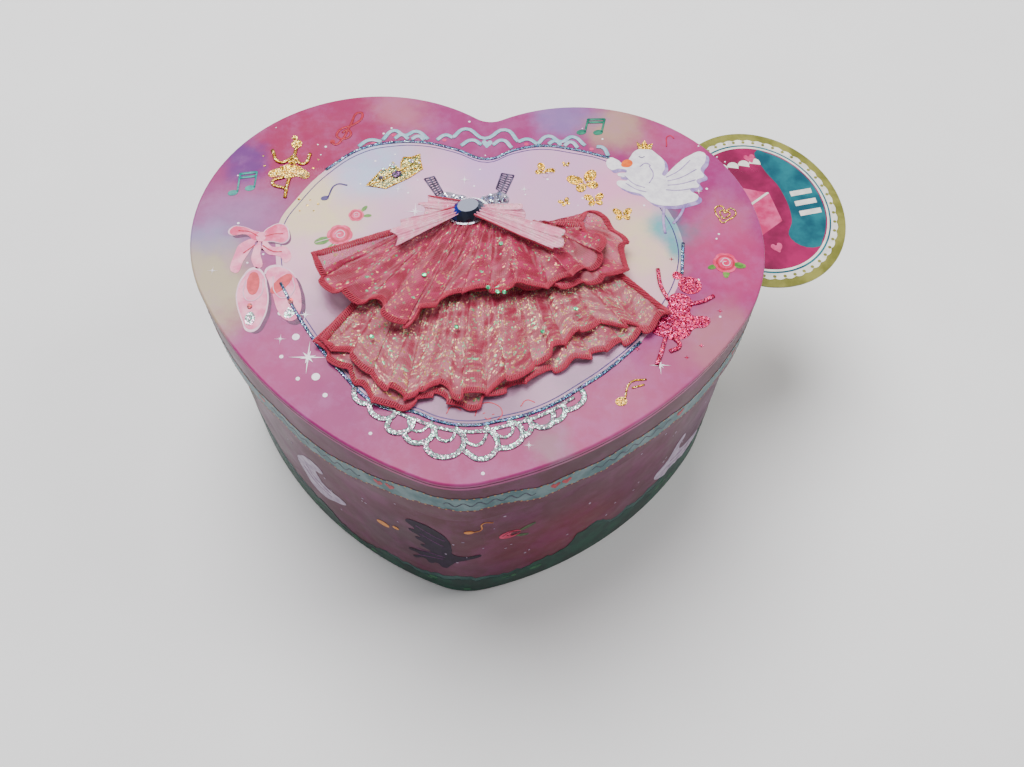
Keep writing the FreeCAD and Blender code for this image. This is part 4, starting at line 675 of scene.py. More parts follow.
plate("sparks", [star(x, y, r, r * 0.07, 4, 0.06) for x, y, r in SPARKS], LID_TOP + 0.05, spark_ink,
      sharp=True)
plate("spark_hearts", [star(x, y, r * 0.42, r * 0.12, 6, 0.3) for x, y, r in SPARKS], LID_TOP + 0.11,
      spark_ink, sharp=True)
random.seed(5)
DOTS = [(-50, -28, 1.1), (-42, -41, 1.2), (-47, -42, .6), (-56, -20, .8), (-38.4, -46.8, .7), (-53, -35, .6),
        (-24, -58, .5), (8, -68, .5)]
DOTS += [(random.uniform(-80, 82), random.uniform(-30, 62), random.uniform(0.18, 0.42)) for k in range(70)]
plate("bokeh_dots", [oval(x, y, r, r, 0, 7) for x, y, r in DOTS if not (-60 < x < 62 and -50 < y < 20)
                     or r > 0.45],
      LID_TOP + 0.042, spark_ink)
FACE = [[(4.4, -50.6), (5.6, -46.8), (10.4, -46.6), (12, -49.4), (10.6, -51.4)], [(6.6, -49.6), (7.2, -49.3)],
        [(9.2, -49.8), (9.8, -49.5)], [(7.2, -50.9), (8.1, -51.3), (9, -50.8)],
        [(-3.6, -50.4), (-2.4, -48), (0.4, -49)], [(17, -46.6), (18.6, -44.4), (21, -45)]]
line("panel_sketch", FACE, LID_TOP + 0.04, 0.28, coral_ink, flat=0.2)

# ---- dress: gathered organza tiers -------------------------------------------------------------
# Each tier is two layers of stiff organza gathered at the top, with pleats that open towards an S-shaped
# hem. Every layer is a grid laid between its gathering line and its hem, so its weave follows the cloth.
def along(points, t):
    """The place at share t of a smooth line through points."""
    lengths = [0.0]
    for a, b in zip(points, points[1:]):
        lengths.append(lengths[-1] + math.dist(a, b))
    goal = min(max(t, 0.0), 1.0) * lengths[-1]
    k = max(i for i in range(len(points) - 1) if lengths[i] <= goal or i == 0)
    s = (goal - lengths[k]) / max(lengths[k + 1] - lengths[k], 1e-9)
    p0, p1, p2, p3 = points[max(k - 1, 0)], points[k], points[k + 1], points[min(k + 2, len(points) - 1)]
    return tuple(0.5 * (2 * b + (c - a) * s + (2 * a - 5 * b + 4 * c - d) * s * s + (3 * b - a - 3 * c + d)
                        * s ** 3)
                 for a, b, c, d in zip(p0, p1, p2, p3))


def wobble(value, seed):
    """A slow, uneven wave between about -1 and 1."""
    slow, middling = math.sin(value * 2.3 + seed) * 0.5, math.sin(value * 5.1 + seed * 1.7) * 0.3
    return slow + middling + math.sin(value * 11.7 + seed * 2.9) * 0.2


class Layer:
    """A gathered cloth: where its point (u, v) lies, u along the hem and v from the gathers to the hem."""

    def __init__(self, top, hem, lift_top, lift_hem, folds, depth, swirl, seed):
        self.top, self.hem, self.lift_top, self.lift_hem = top, hem, lift_top, lift_hem
        self.folds, self.depth, self.swirl, self.seed = folds, depth, swirl, seed

    def hem_length(self):
        return sum((self.at((k + 1) / 200, 1) - self.at(k / 200, 1)).length for k in range(200))

    def at(self, u, v):
        """The place of a point of the cloth, in millimetres."""
        tx, ty = along(self.top, u)
        hx, hy = along(self.hem, u)
        ex, ey = along(self.hem, min(u + 0.01, 1.0))
        bx, by = along(self.hem, max(u - 0.01, 0.0))
        run = max(math.hypot(ex - bx, ey - by), 1e-6)
        ax, ay = (ex - bx) / run, (ey - by) / run
        angle = 2 * math.pi * self.folds * (u + 0.022 * wobble(u * 6, self.seed)) + self.seed
        open_out = v ** 1.1
        sway = self.swirl * v ** 1.6 * math.sin(2 * angle + 0.7) * (0.7 + 0.5 * wobble(u * 9, self.seed + 1))
        reach = 0.9 * v * math.cos(angle * 1.5 + self.seed)
        x = tx + (hx - tx) * v + ax * sway - ay * reach
        y = ty + (hy - ty) * v + ay * sway + ax * reach
        fold = 0.5 + 0.5 * math.sin(angle)
        small = 0.35 * (1 - v) * math.sin(angle * 3 + 1.1) + 0.18 * wobble(u * 40 + v * 6, self.seed)
        pleat = self.depth * open_out * fold * (0.75 + 0.5 * wobble(u * 4, self.seed))
        z = self.lift_top + (self.lift_hem - self.lift_top) * v + pleat + small
        return Vector((x, y, LID_TOP + max(z, 0.35)))


CLOTH_THICKNESS = 0.10


def cloth(name, layer, material, columns, rows, body="lid"):
    """The layer as a thin closed sheet with a UV map in millimetres of cloth."""
    bpy.ops.object.select_all(action="DESELECT")
    bpy.ops.mesh.primitive_grid_add(x_subdivisions=columns, y_subdivisions=rows, size=1)
    obj = bpy.context.object
    obj.name = obj.data.name = name
    hem_length = layer.hem_length()
    fall = (layer.at(0.5, 1) - layer.at(0.5, 0)).length
    uv = obj.data.uv_layers.active or obj.data.uv_layers.new(name="cloth")
    places = [(v.co.x + 0.5, 0.5 - v.co.y) for v in obj.data.vertices]
    for loop in obj.data.loops:
        u, v = places[loop.vertex_index]
        uv.data[loop.index].uv = (u * hem_length, v * fall)
    for vertex, (u, v) in zip(obj.data.vertices, places):
        vertex.co = layer.at(u, v) * MM
    thick = obj.modifiers.new("thickness", "SOLIDIFY")
    thick.thickness, thick.offset = CLOTH_THICKNESS * MM, 0
    bpy.ops.object.modifier_apply(modifier=thick.name)
    bpy.ops.object.shade_smooth()
    sealed(obj)
    return finished(obj, material, body)


def crochet(name, layer, material, start=0.3, width=1.9, pitch=1.35, thread=0.46):
    """An overlocked edge down one side, along the hem and up the other: two looping strands and a chain."""
    route = [(0.0, start + (1 - start) * k / 60) for k in range(60)] + [(k / 500, 1.0) for k in range(501)]
    route += [(1.0, 1 - (1 - start) * (k + 1) / 60) for k in range(60)]
    middle = layer.at(0.5, 0.6)
    edge = [layer.at(u, v) for u, v in route]
    inside = [layer.at(min(max(u, 0.03), 0.97), min(v, 0.90)) for u, v in route]
    lengths = [0.0]
    for a, b in zip(edge, edge[1:]):
        lengths.append(lengths[-1] + (b - a).length)
    steps = int(lengths[-1] / (pitch / 7))
    strands = ([], [], [])
    k = 0
    for n in range(steps + 1):
        goal = lengths[-1] * n / steps
        while k < len(lengths) - 2 and lengths[k + 1] < goal:
            k += 1
        s = (goal - lengths[k]) / max(lengths[k + 1] - lengths[k], 1e-9)
        here = edge[k].lerp(edge[k + 1], s)
        inward = inside[k].lerp(inside[k + 1], s) - here
        inward = inward.normalized() if inward.length > 1e-6 else (middle - here).normalized()
        phase = 2 * math.pi * goal / pitch
        for strand in (0, 1):
            wave = phase + strand * math.pi
            loop_out = inward * (width * (0.5 + 0.5 * math.sin(wave)))
            strands[strand].append(here + loop_out + Vector((0, 0, 0.32 * math.cos(wave))))
        chain_out = inward * (0.15 + 0.12 * math.sin(phase * 2))
        strands[2].append(here + chain_out + Vector((0, 0, 0.1 * math.cos(phase * 2))))
    curve = bpy.data.curves.new(name, "CURVE")
    curve.dimensions, curve.use_fill_caps = "3D", True
    curve.bevel_depth, curve.bevel_resolution = thread / 2 * MM, 1
    for strand in strands:
        spline = curve.splines.new("POLY")
        spline.points.add(len(strand) - 1)
        for point, place in zip(spline.points, strand):
            point.co = (place.x * MM, place.y * MM, max(place.z, LID_TOP + thread / 2) * MM, 1)
    bpy.ops.object.select_all(action="DESELECT")
    obj = bpy.data.objects.new(name, curve)
    bpy.context.collection.objects.link(obj)
    obj.select_set(True)
    bpy.context.view_layer.objects.active = obj
    bpy.ops.object.convert(target="MESH")
    obj = bpy.context.object
    sealed(obj)
    bpy.ops.object.shade_smooth()
    return finished(obj, material, "lid")


def organza(name, thread, film, cover, glints, share):
    """Stiff sheer cloth: a fine square weave of coloured thread, with slit film that glints in cells."""
    made, tree, shader = blank(name, rough=0.42, sheen=0.35)
    uv = node(tree, "TexCoord").outputs["UV"]
    parts = node(tree, "SeparateXYZ", {0: uv})
    threads = [number(tree, "SINE", number(tree, "MULTIPLY", parts.outputs[k], 7.4)) for k in (0, 1)]
    weave = number(tree, "MAXIMUM", *[number(tree, "ABSOLUTE", wave) for wave in threads])
    cells = node(tree, "TexVoronoi", {"Vector": uv, "Scale": 1.9})
    chance = node(tree, "SeparateColor", {0: cells.outputs["Color"]})
    stretch = node(tree, "Mapping", {0: uv, 3: (0.12, 0.30, 1.0)})
    streak = speckle(tree, stretch.outputs[0], 1.0, 3.0).outputs[0]
    lit = number(tree, "GREATER_THAN", chance.outputs[0], 1.0 - share)
    lit = number(tree, "MULTIPLY", lit, ramp(tree, streak, 0.40, 0.58))
    tone = mixed(tree, chance.outputs[1], rgb(*glints[0]), rgb(*glints[1]))
    tone = mixed(tree, number(tree, "GREATER_THAN", chance.outputs[2], 0.72), tone, rgb(*glints[2]))
    body_tone = mixed(tree, ramp(tree, streak, 0.3, 0.7), rgb(*thread), rgb(*film))
    tree.links.new(mixed(tree, lit, body_tone, tone), shader.inputs["Base Color"])
    tree.links.new(number(tree, "MULTIPLY", lit, 0.75), shader.inputs["Metallic"])
    off = node(tree, "VectorMath", {0: cells.outputs["Color"], 1: (0.5, 0.5, 0.5)}, operation="SUBTRACT")
    off = node(tree, "VectorMath", {0: off.outputs[0], 3: lit}, operation="SCALE")
    way = node(tree, "VectorMath", {0: node(tree, "NewGeometry").outputs["Normal"], 1: off.outputs[0]},
               operation="ADD")
    tree.links.new(node(tree, "VectorMath", {0: way.outputs[0]}, operation="NORMALIZE").outputs[0],
                   shader.inputs["Normal"])
    film_cover = number(tree, "ADD", number(tree, "MULTIPLY", number(tree, "POWER", weave, 6.0), 0.30), cover)
    film_cover = number(tree, "ADD", film_cover, number(tree, "MULTIPLY", lit, 0.35), True)
    tree.links.new(film_cover, shader.inputs["Alpha"])
    return made


def yarn(name, colour, light):
    made, tree, shader = blank(name, rough=0.62, sheen=0.3)
    where = millimetres(tree)
    twist = speckle(tree, where, 4.0, 3.0).outputs[0]
    tree.links.new(mixed(tree, ramp(tree, twist, 0.35, 0.7), rgb(*colour), rgb(*light)),
                   shader.inputs["Base Color"])
    bumped(tree, shader, twist, 0.08)
    return made


coral_organza = organza("coral_organza", (180, 48, 100), (212, 104, 146), 0.40,
                        ((250, 190, 170), (255, 226, 190), (170, 220, 190)), 0.13)
pale_organza = organza("pale_organza", (190, 74, 114), (220, 156, 170), 0.32,
                       ((252, 232, 214), (250, 214, 150), (170, 222, 190)), 0.26)
coral_tulle = organza("coral_tulle", (170, 40, 88), (190, 62, 112), 0.80,
                      ((240, 150, 160), (250, 180, 170), (210, 110, 130)), 0.05)
coral_yarn = yarn("coral_yarn", (180, 46, 92), (210, 92, 130))

LOWER_TOP = [(-30, -8), (-20, -9), (-8, -8), (4, -5), (16, -2), (28, 2), (38, 6)]
HEM_UNDER = [(-43.3, -30.9), (-37.9, -36), (-30.8, -41.8), (-25.5, -47.5), (-19.8, -50.6), (-14.7, -49.4),
             (-9.1, -45.5), (-5.2, -46.1), (0.3, -49.2), (4.8, -48), (6.8, -45.3), (18.6, -39.2), (31.3, -32),
             (41.3, -26.8), (49.9, -21.5), (56.2, -15.4), (59.6, -11.3)]
HEM_OVER = [(-42.3, -30.8), (-32.8, -34.9), (-27.5, -39.8), (-20, -45.4), (-13.1, -47.5), (-9.1, -42.9),
            (-3.8, -43.4), (-0.5, -46.6), (7.5, -43.8), (18.3, -36.9), (27.9, -27.2), (38.5, -19),
            (48.6, -19.2), (54.1, -19.3), (59.5, -12)]
UNDERSKIRT = [(-36, -24), (-26, -34), (-14, -38), (0, -37), (14, -32), (28, -25), (42, -16), (50, -8)]
UPPER_TOP = [(-16, 14), (-8, 16), (0, 16.4), (8, 16), (14, 15.4), (21, 15.6)]
HEM_UPPER_OVER = [(-47.3, -4.5), (-45.7, -9.9), (-39.2, -16.2), (-32.6, -18.2), (-26.4, -18.2),
                  (-23.3, -23.6), (-18.4, -26), (-14.3, -21.1), (-7.1, -15.8), (0.4, -12.4), (17.6, -10.2),
                  (25.4, -7.7), (32.4, -3.3), (37.9, 1.1), (39.4, 8.4), (36.1, 11.2), (31.9, 15.1)]
HEM_UPPER_UNDER = [(-44, -5.5), (-42.5, -9), (-36, -14.6), (-29, -16), (-22, -19.4), (-16, -22), (-10, -15),
                   (0, -10.8), (15, -8.6), (26, -8.4), (36, -5.4), (43, -3), (46.5, 1.3), (46.4, 7),
                   (45.3, 12.5), (40.3, 19.5), (34.4, 21.2), (31.2, 16.7)]
underskirt = Layer([(-14, 13), (0, 14), (16, 13)], UNDERSKIRT, 1.0, 0.6, 11, 0.7, 0.6, 0.4)
lower_under = Layer(LOWER_TOP, HEM_UNDER, 1.6, 0.7, 10, 1.5, 1.3, 1.1)
lower_over = Layer(LOWER_TOP, HEM_OVER, 3.0, 1.9, 9, 2.4, 1.7, 2.6)
upper_under = Layer(UPPER_TOP, HEM_UPPER_UNDER, 5.0, 4.2, 8, 1.7, 1.2, 3.3)
upper_over = Layer(UPPER_TOP, HEM_UPPER_OVER, 6.4, 5.6, 8, 2.6, 1.6, 0.9)
skirt_slip = cloth("underskirt", underskirt, coral_tulle, 200, 30)
tiers = []
for name, layer, look, slot_name in (("lower_tier_under", lower_under, pale_organza, "organza_pale"),
                                     ("lower_tier_over", lower_over, pale_organza, "organza_pale"),
                                     ("upper_tier_under", upper_under, coral_organza, "organza_coral"),
                                     ("upper_tier_over", upper_over, coral_organza, "organza_coral")):
    tier = cloth(name, layer, look, 300, 40)
    hem = crochet(name + "_hem", layer, coral_yarn)
    tiers.append((tier, hem, layer))
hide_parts("skirt_lower_tier")
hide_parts("skirt_upper_tier")

# ---- bow, stone, beads and straps --------------------------------------------------------------
# A pale organza bow behind a dark faceted stone, two panels of small faceted stones and two net straps. The
# bow is ribbon folded and caught at the middle, the stone sits in a metal setting, and the small stones are
# glued on.
ribbon_organza = organza("ribbon_organza", (242, 176, 200), (252, 216, 228), 0.60,
                         ((255, 236, 236), (255, 226, 214), (230, 240, 236)), 0.10)
LOOPS = [("bow_loop_left", [(-4.5, 20.4), (-4.8, 18.4), (-5.2, 16.4)],
          [(-15.5, 21.4), (-17.8, 18.2), (-16, 13.6)], 7.6, 7.2, 1.6),
         ("bow_loop_right", [(-1.5, 15.4), (-1.2, 17.6), (-1.0, 19.6)],
          [(12.5, 13.6), (14.4, 17.4), (12, 21.4)], 7.6, 7.2, 1.6),
         ("bow_tail_left", [(-4, 18.6), (-5, 16.8), (-5, 15)], [(-22.5, 9.8), (-24.6, 5.4), (-22.4, 0.6)],
          8.4, 9.3, 0.9),
         ("bow_tail_right", [(-1, 14.6), (-0.6, 16.4), (0, 18.2)], [(24.2, 2.2), (26.8, 6), (25.8, 10.8)],
          8.4, 9.3, 0.9)]
for name, top, end, rise, fall, depth in LOOPS:
    strip = Layer(top, end, rise, fall, 1.3, depth, 0.2, len(name) * 0.7)
    piece = cloth(name, strip, ribbon_organza, 70, 46)
    rim = curve_mesh(name + "_edge", [[tuple(strip.at(0, k / 10))[:2] for k in range(11)]], False, width=0.5)
    for v in rim.data.vertices:
        v.co.z = v.co.z + (LID_TOP + rise + 0.3) * MM
    finished(rim, coral_yarn, "lid")
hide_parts("waist_bow")

GEM_X, GEM_Y, GEM_Z, GEM_TURN = -3.1, 17.5, LID_TOP + 6.7, math.radians(25)
GEM_HALF_LONG, GEM_HALF_WIDE, GEM_DEEP = 6.0, 4.5, 2.9
stone_glass, tree, shader = blank("stone_glass", rough=0.04, metal=0.55, coat=0.6)
# The stone's colour follows the way each facet faces: blue on facets turned up and to the left, pale grey on
# those turned away. This is a painted reflection.
facing = node(tree, "NewGeometry")
turned = node(tree, "VectorMath", {0: facing.outputs["Normal"], 1: (-0.75, -0.2, 0.5)},
              operation="DOT_PRODUCT").outputs["Value"]
painted_facet_light = mixed(tree, ramp(tree, turned, 0.62, 0.9), rgb(62, 70, 96), rgb(84, 102, 200))
painted_facet_light = mixed(tree, ramp(tree, turned, 0.1, -0.3), painted_facet_light, rgb(186, 192, 206))
tree.links.new(painted_facet_light, shader.inputs["Base Color"])
bpy.ops.object.select_all(action="DESELECT")
bpy.ops.mesh.primitive_cylinder_add(vertices=14, radius=1, depth=1)
gem = bpy.context.object
gem.name = gem.data.name = "faceted_stone"
shape = bmesh.new()
shape.from_mesh(gem.data)
for v in shape.verts:
    v.co.z = 0.0 if v.co.z < 0 else 1.0
bottom = [f for f in shape.faces if all(v.co.z < 0.5 for v in f.verts)]
bmesh.ops.inset_region(shape, faces=bottom, thickness=0.25)
for v in bottom[0].verts:
    v.co.z = -0.5
top = [f for f in shape.faces if all(v.co.z > 0.5 for v in f.verts)][0]
bmesh.ops.rotate(shape, verts=top.verts, cent=(0, 0, 0), matrix=Matrix.Rotation(math.pi / 14, 3, "Z"))
bmesh.ops.scale(shape, verts=top.verts, vec=(0.8, 0.8, 0.62))
bmesh.ops.inset_region(shape, faces=[top], thickness=0.24)
bmesh.ops.rotate(shape, verts=top.verts, cent=(0, 0, 0), matrix=Matrix.Rotation(math.pi / 14, 3, "Z"))
for v in top.verts:
    v.co.z = 1.0
bmesh.ops.triangulate(shape, faces=[f for f in shape.faces if f is not top])
bmesh.ops.recalc_face_normals(shape, faces=shape.faces)
shape.to_mesh(gem.data)
shape.free()
c, s = math.cos(GEM_TURN), math.sin(GEM_TURN)
for v in gem.data.vertices:
    x, y, z = v.co.x * GEM_HALF_LONG, v.co.y * GEM_HALF_WIDE, v.co.z * GEM_DEEP
    v.co = Vector((GEM_X + x * c - y * s, GEM_Y + x * s + y * c, GEM_Z + z)) * MM
finished(gem, stone_glass, "lid")
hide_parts("gem_stone")
claw_steel, tree, shader = blank("claw_silver", rgb(196, 198, 204), 0.22, 1.0)
where = millimetres(tree)
bumped(tree, shader, speckle(tree, where, 3.0, 4.0).outputs[0], 0.04)
tree.links.new(mixed(tree, speckle(tree, where, 1.2).outputs[0], rgb(150, 152, 160), rgb(224, 226, 230)),
               shader.inputs["Base Color"])
dress_node(["gem_setting"], claw_steel)

BEADS = [(-11.8, 28.6), (-11.6, 26.4), (-13.3, 25.4), (-8.6, 28.1), (-9.4, 26), (-6.2, 27.8), (-7.0, 25.3),
         (-4.0, 25.6), (-10.5, 24), (-10.8, 21.6), (-8.3, 23.3), (-6.0, 23.0), (-8.6, 20.6), (0.8, 28.1),
         (3, 29.2), (5.5, 30.4), (7.8, 28.6), (3.4, 27.0), (5.9, 28.0), (5.0, 25.2), (2.0, 25.0),
         (-0.4, 25.8), (0, 23.6), (3.4, 23.4)]
bead_glass = glitter("bead_glass", [(236, 238, 244), (255, 255, 255), (176, 178, 192), (214, 222, 246)], 0.7,
                     0.9, 0.1, 1.1)
bpy.ops.object.select_all(action="DESELECT")
for k, (x, y) in enumerate(BEADS):
    bpy.ops.mesh.primitive_cone_add(vertices=8, radius1=1.25 * MM, radius2=0.6 * MM, depth=1.0 * MM,
                                    location=(x * MM, y * MM, (LID_TOP + 0.75) * MM),
                                    rotation=(0, 0, k * 0.6))
    bpy.context.object.name = f"bead_{k}"
for o in bpy.context.scene.objects:
    o.select_set(o.name.startswith("bead_") and o.type == "MESH")
bpy.ops.object.join()
beads = bpy.context.object
beads.name = "faceted_beads"
bpy.ops.object.transform_apply(location=True, rotation=True, scale=True)
bpy.ops.object.mode_set(mode="EDIT")
bpy.ops.mesh.select_all(action="SELECT")
bpy.ops.mesh.bevel(offset=0.12 * MM, segments=1)
bpy.ops.object.mode_set(mode="OBJECT")
finished(beads, bead_glass, "lid")
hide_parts("bodice_beads")


def between(a, b, share):
    return (a[0] + (b[0] - a[0]) * share, a[1] + (b[1] - a[1]) * share)


net_ink = ink("net_ink", (92, 82, 104), (146, 138, 158))
bodice_ink = ink("bodice_ink", (150, 142, 158), (196, 190, 200))
plate("bodice", [[(-13.8, 28.4), (-11, 30.4), (-8, 29.6), (-5, 29), (-3.6, 26.4), (-0.6, 26.8), (1, 29.2),
                  (4, 31), (7, 31.4), (9, 29), (7.4, 25.4), (4, 21), (-2, 17.4), (-9, 18.4), (-12.4, 22.4),
                  (-14.2, 25.4)]],
      LID_TOP + 0.05, bodice_ink, thick=0.2)
STRAPS = [((-19, 35.4), (-16, 36.7), (-12.5, 30.2), (-14.3, 28.5)),
          ((5.9, 39.6), (9.9, 39.1), (7.6, 30.9), (4.6, 33))]
net = []
for a, b, c, d in STRAPS:
    net += [[between(a, d, k / 8), between(b, c, k / 8)] for k in range(9)]
    net += [[a, d], [b, c], [between(a, b, 0.5), between(d, c, 0.5)]]
line("strap_net", net, LID_TOP + 0.04, 0.55, net_ink, flat=0.4)
mint_film = glitter("mint_film", [(120, 236, 190), (190, 250, 220), (90, 200, 160)], 0.6, 0.6, 0.15, 0.3)
SEQUINS = [(7.9, 5.5, 101.9), (-14, -8, 102.2), (5.3, -11.7, 102.8), (8.1, -12.7, 102.4),
           (10.1, -12.6, 102.2), (31.3, -15.9, 100.6), (-3, -24, 99.6), (-27, -29, 99.4), (22, -24, 99.8),
           (-30, -7, 101.6)]
for k, (x, y, z) in enumerate(SEQUINS):
    bpy.ops.mesh.primitive_cone_add(vertices=6, radius1=0.75 * MM, radius2=0.62 * MM, depth=0.12 * MM,
                                    location=(x * MM, y * MM, z * MM),
                                    rotation=(0.15 * math.sin(k), 0.2 * math.cos(k), k))
    bpy.context.object.name = f"sequin_{k}"
for o in bpy.context.scene.objects:
    o.select_set(o.name.startswith("sequin_"))
bpy.ops.object.join()
sequins = bpy.context.object
sequins.name = "sequins"
bpy.ops.object.transform_apply(location=True, rotation=True, scale=True)
finished(sequins, mint_film, "lid")

# ---- round the wall: how flat art is bent onto the heart's side --------------------------------
# The side paper is one long printed strip glued round the board. Shapes are drawn with X as the distance
# round the heart from its point, positive to the right, and Y as the height.
LOBE, TIP = (33.5, 15.65), (0.0, -43.65)
LOBE_RADIUS, SIDE_RADIUS, TIP_RADIUS, CLEFT_RADIUS = 56.5, 131.5, 28.5, 8.0
WALL_IN = 2.0       # the wall stands this far inside the lid's rim
FACET = 3.0         # how far apart flat art is cut before it is bent
reach = math.dist(LOBE, TIP)
from_lobe, from_tip = SIDE_RADIUS - LOBE_RADIUS, SIDE_RADIUS - TIP_RADIUS
toward = (from_lobe ** 2 - from_tip ** 2 + reach ** 2) / (2 * reach)
off = math.sqrt(from_lobe ** 2 - toward ** 2)
ux, uy = (TIP[0] - LOBE[0]) / reach, (TIP[1] - LOBE[1]) / reach
SIDE = min((LOBE[0] + ux * toward - uy * sign * off, LOBE[1] + uy * toward + ux * sign * off)
           for sign in (-1, 1))


def heading(centre, place):
    return math.atan2(place[1] - centre[1], place[0] - centre[0])


def round_heart(distance, inset):
    """The place and outward direction on the heart's wall at a distance from its point."""
    left, s = distance < 0, abs(distance)
    onto_tip, onto_side = heading(SIDE, TIP), heading(SIDE, LOBE)
    cleft = (0.0, LOBE[1] + math.sqrt((LOBE_RADIUS + CLEFT_RADIUS) ** 2 - LOBE[0] ** 2))
    for centre, radius, start, end in ((TIP, TIP_RADIUS - inset, -math.pi / 2, onto_tip),
                                       (SIDE, SIDE_RADIUS - inset, onto_tip, onto_side),
                                       (LOBE, LOBE_RADIUS - inset, onto_side,
                                        heading(cleft, LOBE) + math.pi)):
        span = radius * (end - start)
        if s <= span or centre is LOBE:
            a = start + min(s, span) / radius
            nx, ny = math.cos(a), math.sin(a)
            x, y = centre[0] + radius * nx, centre[1] + radius * ny
            return (-x, y, -nx, ny) if left else (x, y, nx, ny)
        s -= span


def on_wall(obj, inset, lift, material, body, flat=1.0):
    """Bends a flat mesh round the heart's wall, cut into short facets first."""
    shape = bmesh.new()
    shape.from_mesh(obj.data)
    low_x, high_x = min(v.co.x for v in shape.verts), max(v.co.x for v in shape.verts)
    cut = math.ceil(low_x / (FACET * MM)) * FACET * MM
    while cut < high_x:
        everything = shape.verts[:] + shape.edges[:] + shape.faces[:]
        bmesh.ops.bisect_plane(shape, geom=everything, plane_co=(cut, 0, 0), plane_no=(1, 0, 0), dist=1e-7)
        cut += FACET * MM
    for v in shape.verts:
        x, y, nx, ny = round_heart(v.co.x / MM, inset)
        out = v.co.z / MM * flat + lift
        v.co = Vector(((x + nx * out), (y + ny * out), v.co.y / MM)) * MM
    bmesh.ops.remove_doubles(shape, verts=shape.verts, dist=1e-7)
    bmesh.ops.recalc_face_normals(shape, faces=shape.faces)
    shape.to_mesh(obj.data)
    shape.free()
    return finished(obj, material, body)


def wall_plate(name, outlines, material, lift=0.04, inset=WALL_IN, body="case", sharp=False):
    flat_art = curve_mesh(name, outlines, True, thick=0.05, sharp=sharp)
    return on_wall(flat_art, inset, lift, material, body)


def wall_line(name, paths, width, material, lift=0.08, inset=WALL_IN, body="case"):
    flat_art = curve_mesh(name, paths, False, width=width)
    return on_wall(flat_art, inset, lift, material, body, 0.15)


# ---- ribbon printed round the lid's rim --------------------------------------------------------
# A waving teal-grey ribbon with a dotted gold edge, a dark fold below it and small red hearts along it. It
# is printed on the strip of paper that covers the lid's rim.
BAND = [(-215, 79), (-190, 76), (-165, 80), (-140, 76.5), (-115, 79), (-95, 76), (-85, 75.5), (-72, 76.5),
        (-61, 78), (-51, 75.4), (-39, 76), (-27, 78.6), (-17, 81), (-9, 82.5), (0, 82), (8, 82), (16, 81.4),
        (25, 78.6), (35, 79), (46, 78.6), (58, 79), (71, 78), (82, 76), (95, 77.5), (115, 80), (140, 77),
        (165, 80), (190, 76.5), (215, 79)]
band_high, band_low = [], []
for k in range(216):
    s, z = along(BAND, k / 215)
    high_wave = 0.55 * math.sin(s * 1.25) + 0.5 * math.sin(s * 0.37 + 1)
    band_high.append((s, z + 3.7 + high_wave * 0.6))
    band_low.append((s, max(z - 3.9 - 0.5 * math.sin(s * 1.25) - 0.5 * math.sin(s * 0.31), 70.6)))
ribbon_paper = ink("ribbon_paper", (110, 138, 142), (150, 166, 168), 0.5, 0.16)
maroon_ink = ink("maroon_ink", (116, 40, 70), (138, 52, 86), 0.5)
gold_ink = ink("gold_ink", (186, 152, 110), (206, 178, 140), 0.4)
shade = [(s, z - 0.9) for s, z in band_high] + [(s, z - 0.8) for s, z in reversed(band_low)]
wall_plate("rim_ribbon_shade", [shade], maroon_ink, 0.02, 0.0, "lid", True)
wall_plate("rim_ribbon", [band_high + band_low[::-1]], ribbon_paper, 0.07, 0.0, "lid", True)
dots = [oval((a[0] + b[0]) / 2, (a[1] + b[1]) / 2 - 0.1, 0.36, 0.36, 0, 5)
        for edge in (band_high, band_low) for a, b in zip(edge, edge[1:])]
wall_plate("rim_ribbon_dots", dots, gold_ink, 0.12, 0.0, "lid", True)
red_ink = ink("red_ink", (168, 48, 78), (198, 70, 98), 0.4)
heart_marks = [(-150, 78), (-100, 77), (-70.5, 77), (-23.5, 79.6), (-19.5, 80.6), (30, 79), (33.6, 79.2),
               (76, 77.4), (104, 78.6), (150, 78)]
wall_plate("rim_ribbon_hearts", [little_heart(s, z, 3.0) for s, z in heart_marks], red_ink, 0.13, 0.0, "lid")
scroll_ink = ink("scroll_ink", (96, 96, 112), (116, 112, 128), 0.5)
scrolls = []
for s0, s1 in ((-66, -50), (-48, -30), (-3, 24), (42, 60), (60, 72)):
    count = int((s1 - s0) / 1.1)
    steps = [s0 + (s1 - s0) * k / count for k in range(count + 1)]
    scrolls.append([(s, along(BAND, (s + 215) / 430)[1] - 0.2 + 1.1 * math.sin(k * 1.57))
                    for k, s in enumerate(steps)])
wall_line("rim_ribbon_scrolls", scrolls, 0.42, scroll_ink, 0.12, 0.0, "lid")
# The thin dark line just under the top of the lid's rim is painted shade under the edge of the lid's top
# panel.
seam_ink = ink("seam_ink", (112, 70, 92), (134, 84, 108), 0.6)
wall_line("rim_top_seam", [[(-224 + 4 * k, 93.4) for k in range(113)]], 0.5, seam_ink, 0.02, 0.0, "lid")

# ---- pictures round the wall -------------------------------------------------------------------
# Dark green hills with bushes along the bottom, a dark bird at the front, pale swans, a note, roses and
# dust. All of it is flat print on the paper round the case.
hill_ink = ink("hill_ink", (26, 84, 76), (52, 112, 98), 0.55, 0.12)
hill_light = ink("hill_light", (72, 108, 106), (96, 126, 122), 0.55, 0.2)
HILLS = [(-230, 9), (-200, 18), (-180, 12), (-150, 20), (-120, 12), (-96, 22), (-78, 14), (-66, 13),
         (-56, 13), (-49, 8), (-39, 6), (-32, 9), (-25, 9), (-17, 7), (-9, 9), (0, 12), (6, 11), (12, 10.4),
         (19, 10.6), (26, 13), (32, 14), (38, 14.6), (42, 23), (46, 22.4), (50, 24), (54, 18), (58, 13),
         (63, 15), (68, 12.4), (73, 13.6), (79, 14), (88, 18), (98, 13), (110, 22), (130, 13), (150, 20),
         (180, 12), (196, 15), (206, 9), (230, 9)]
hill_top = [along(HILLS, k / 300) for k in range(301)]
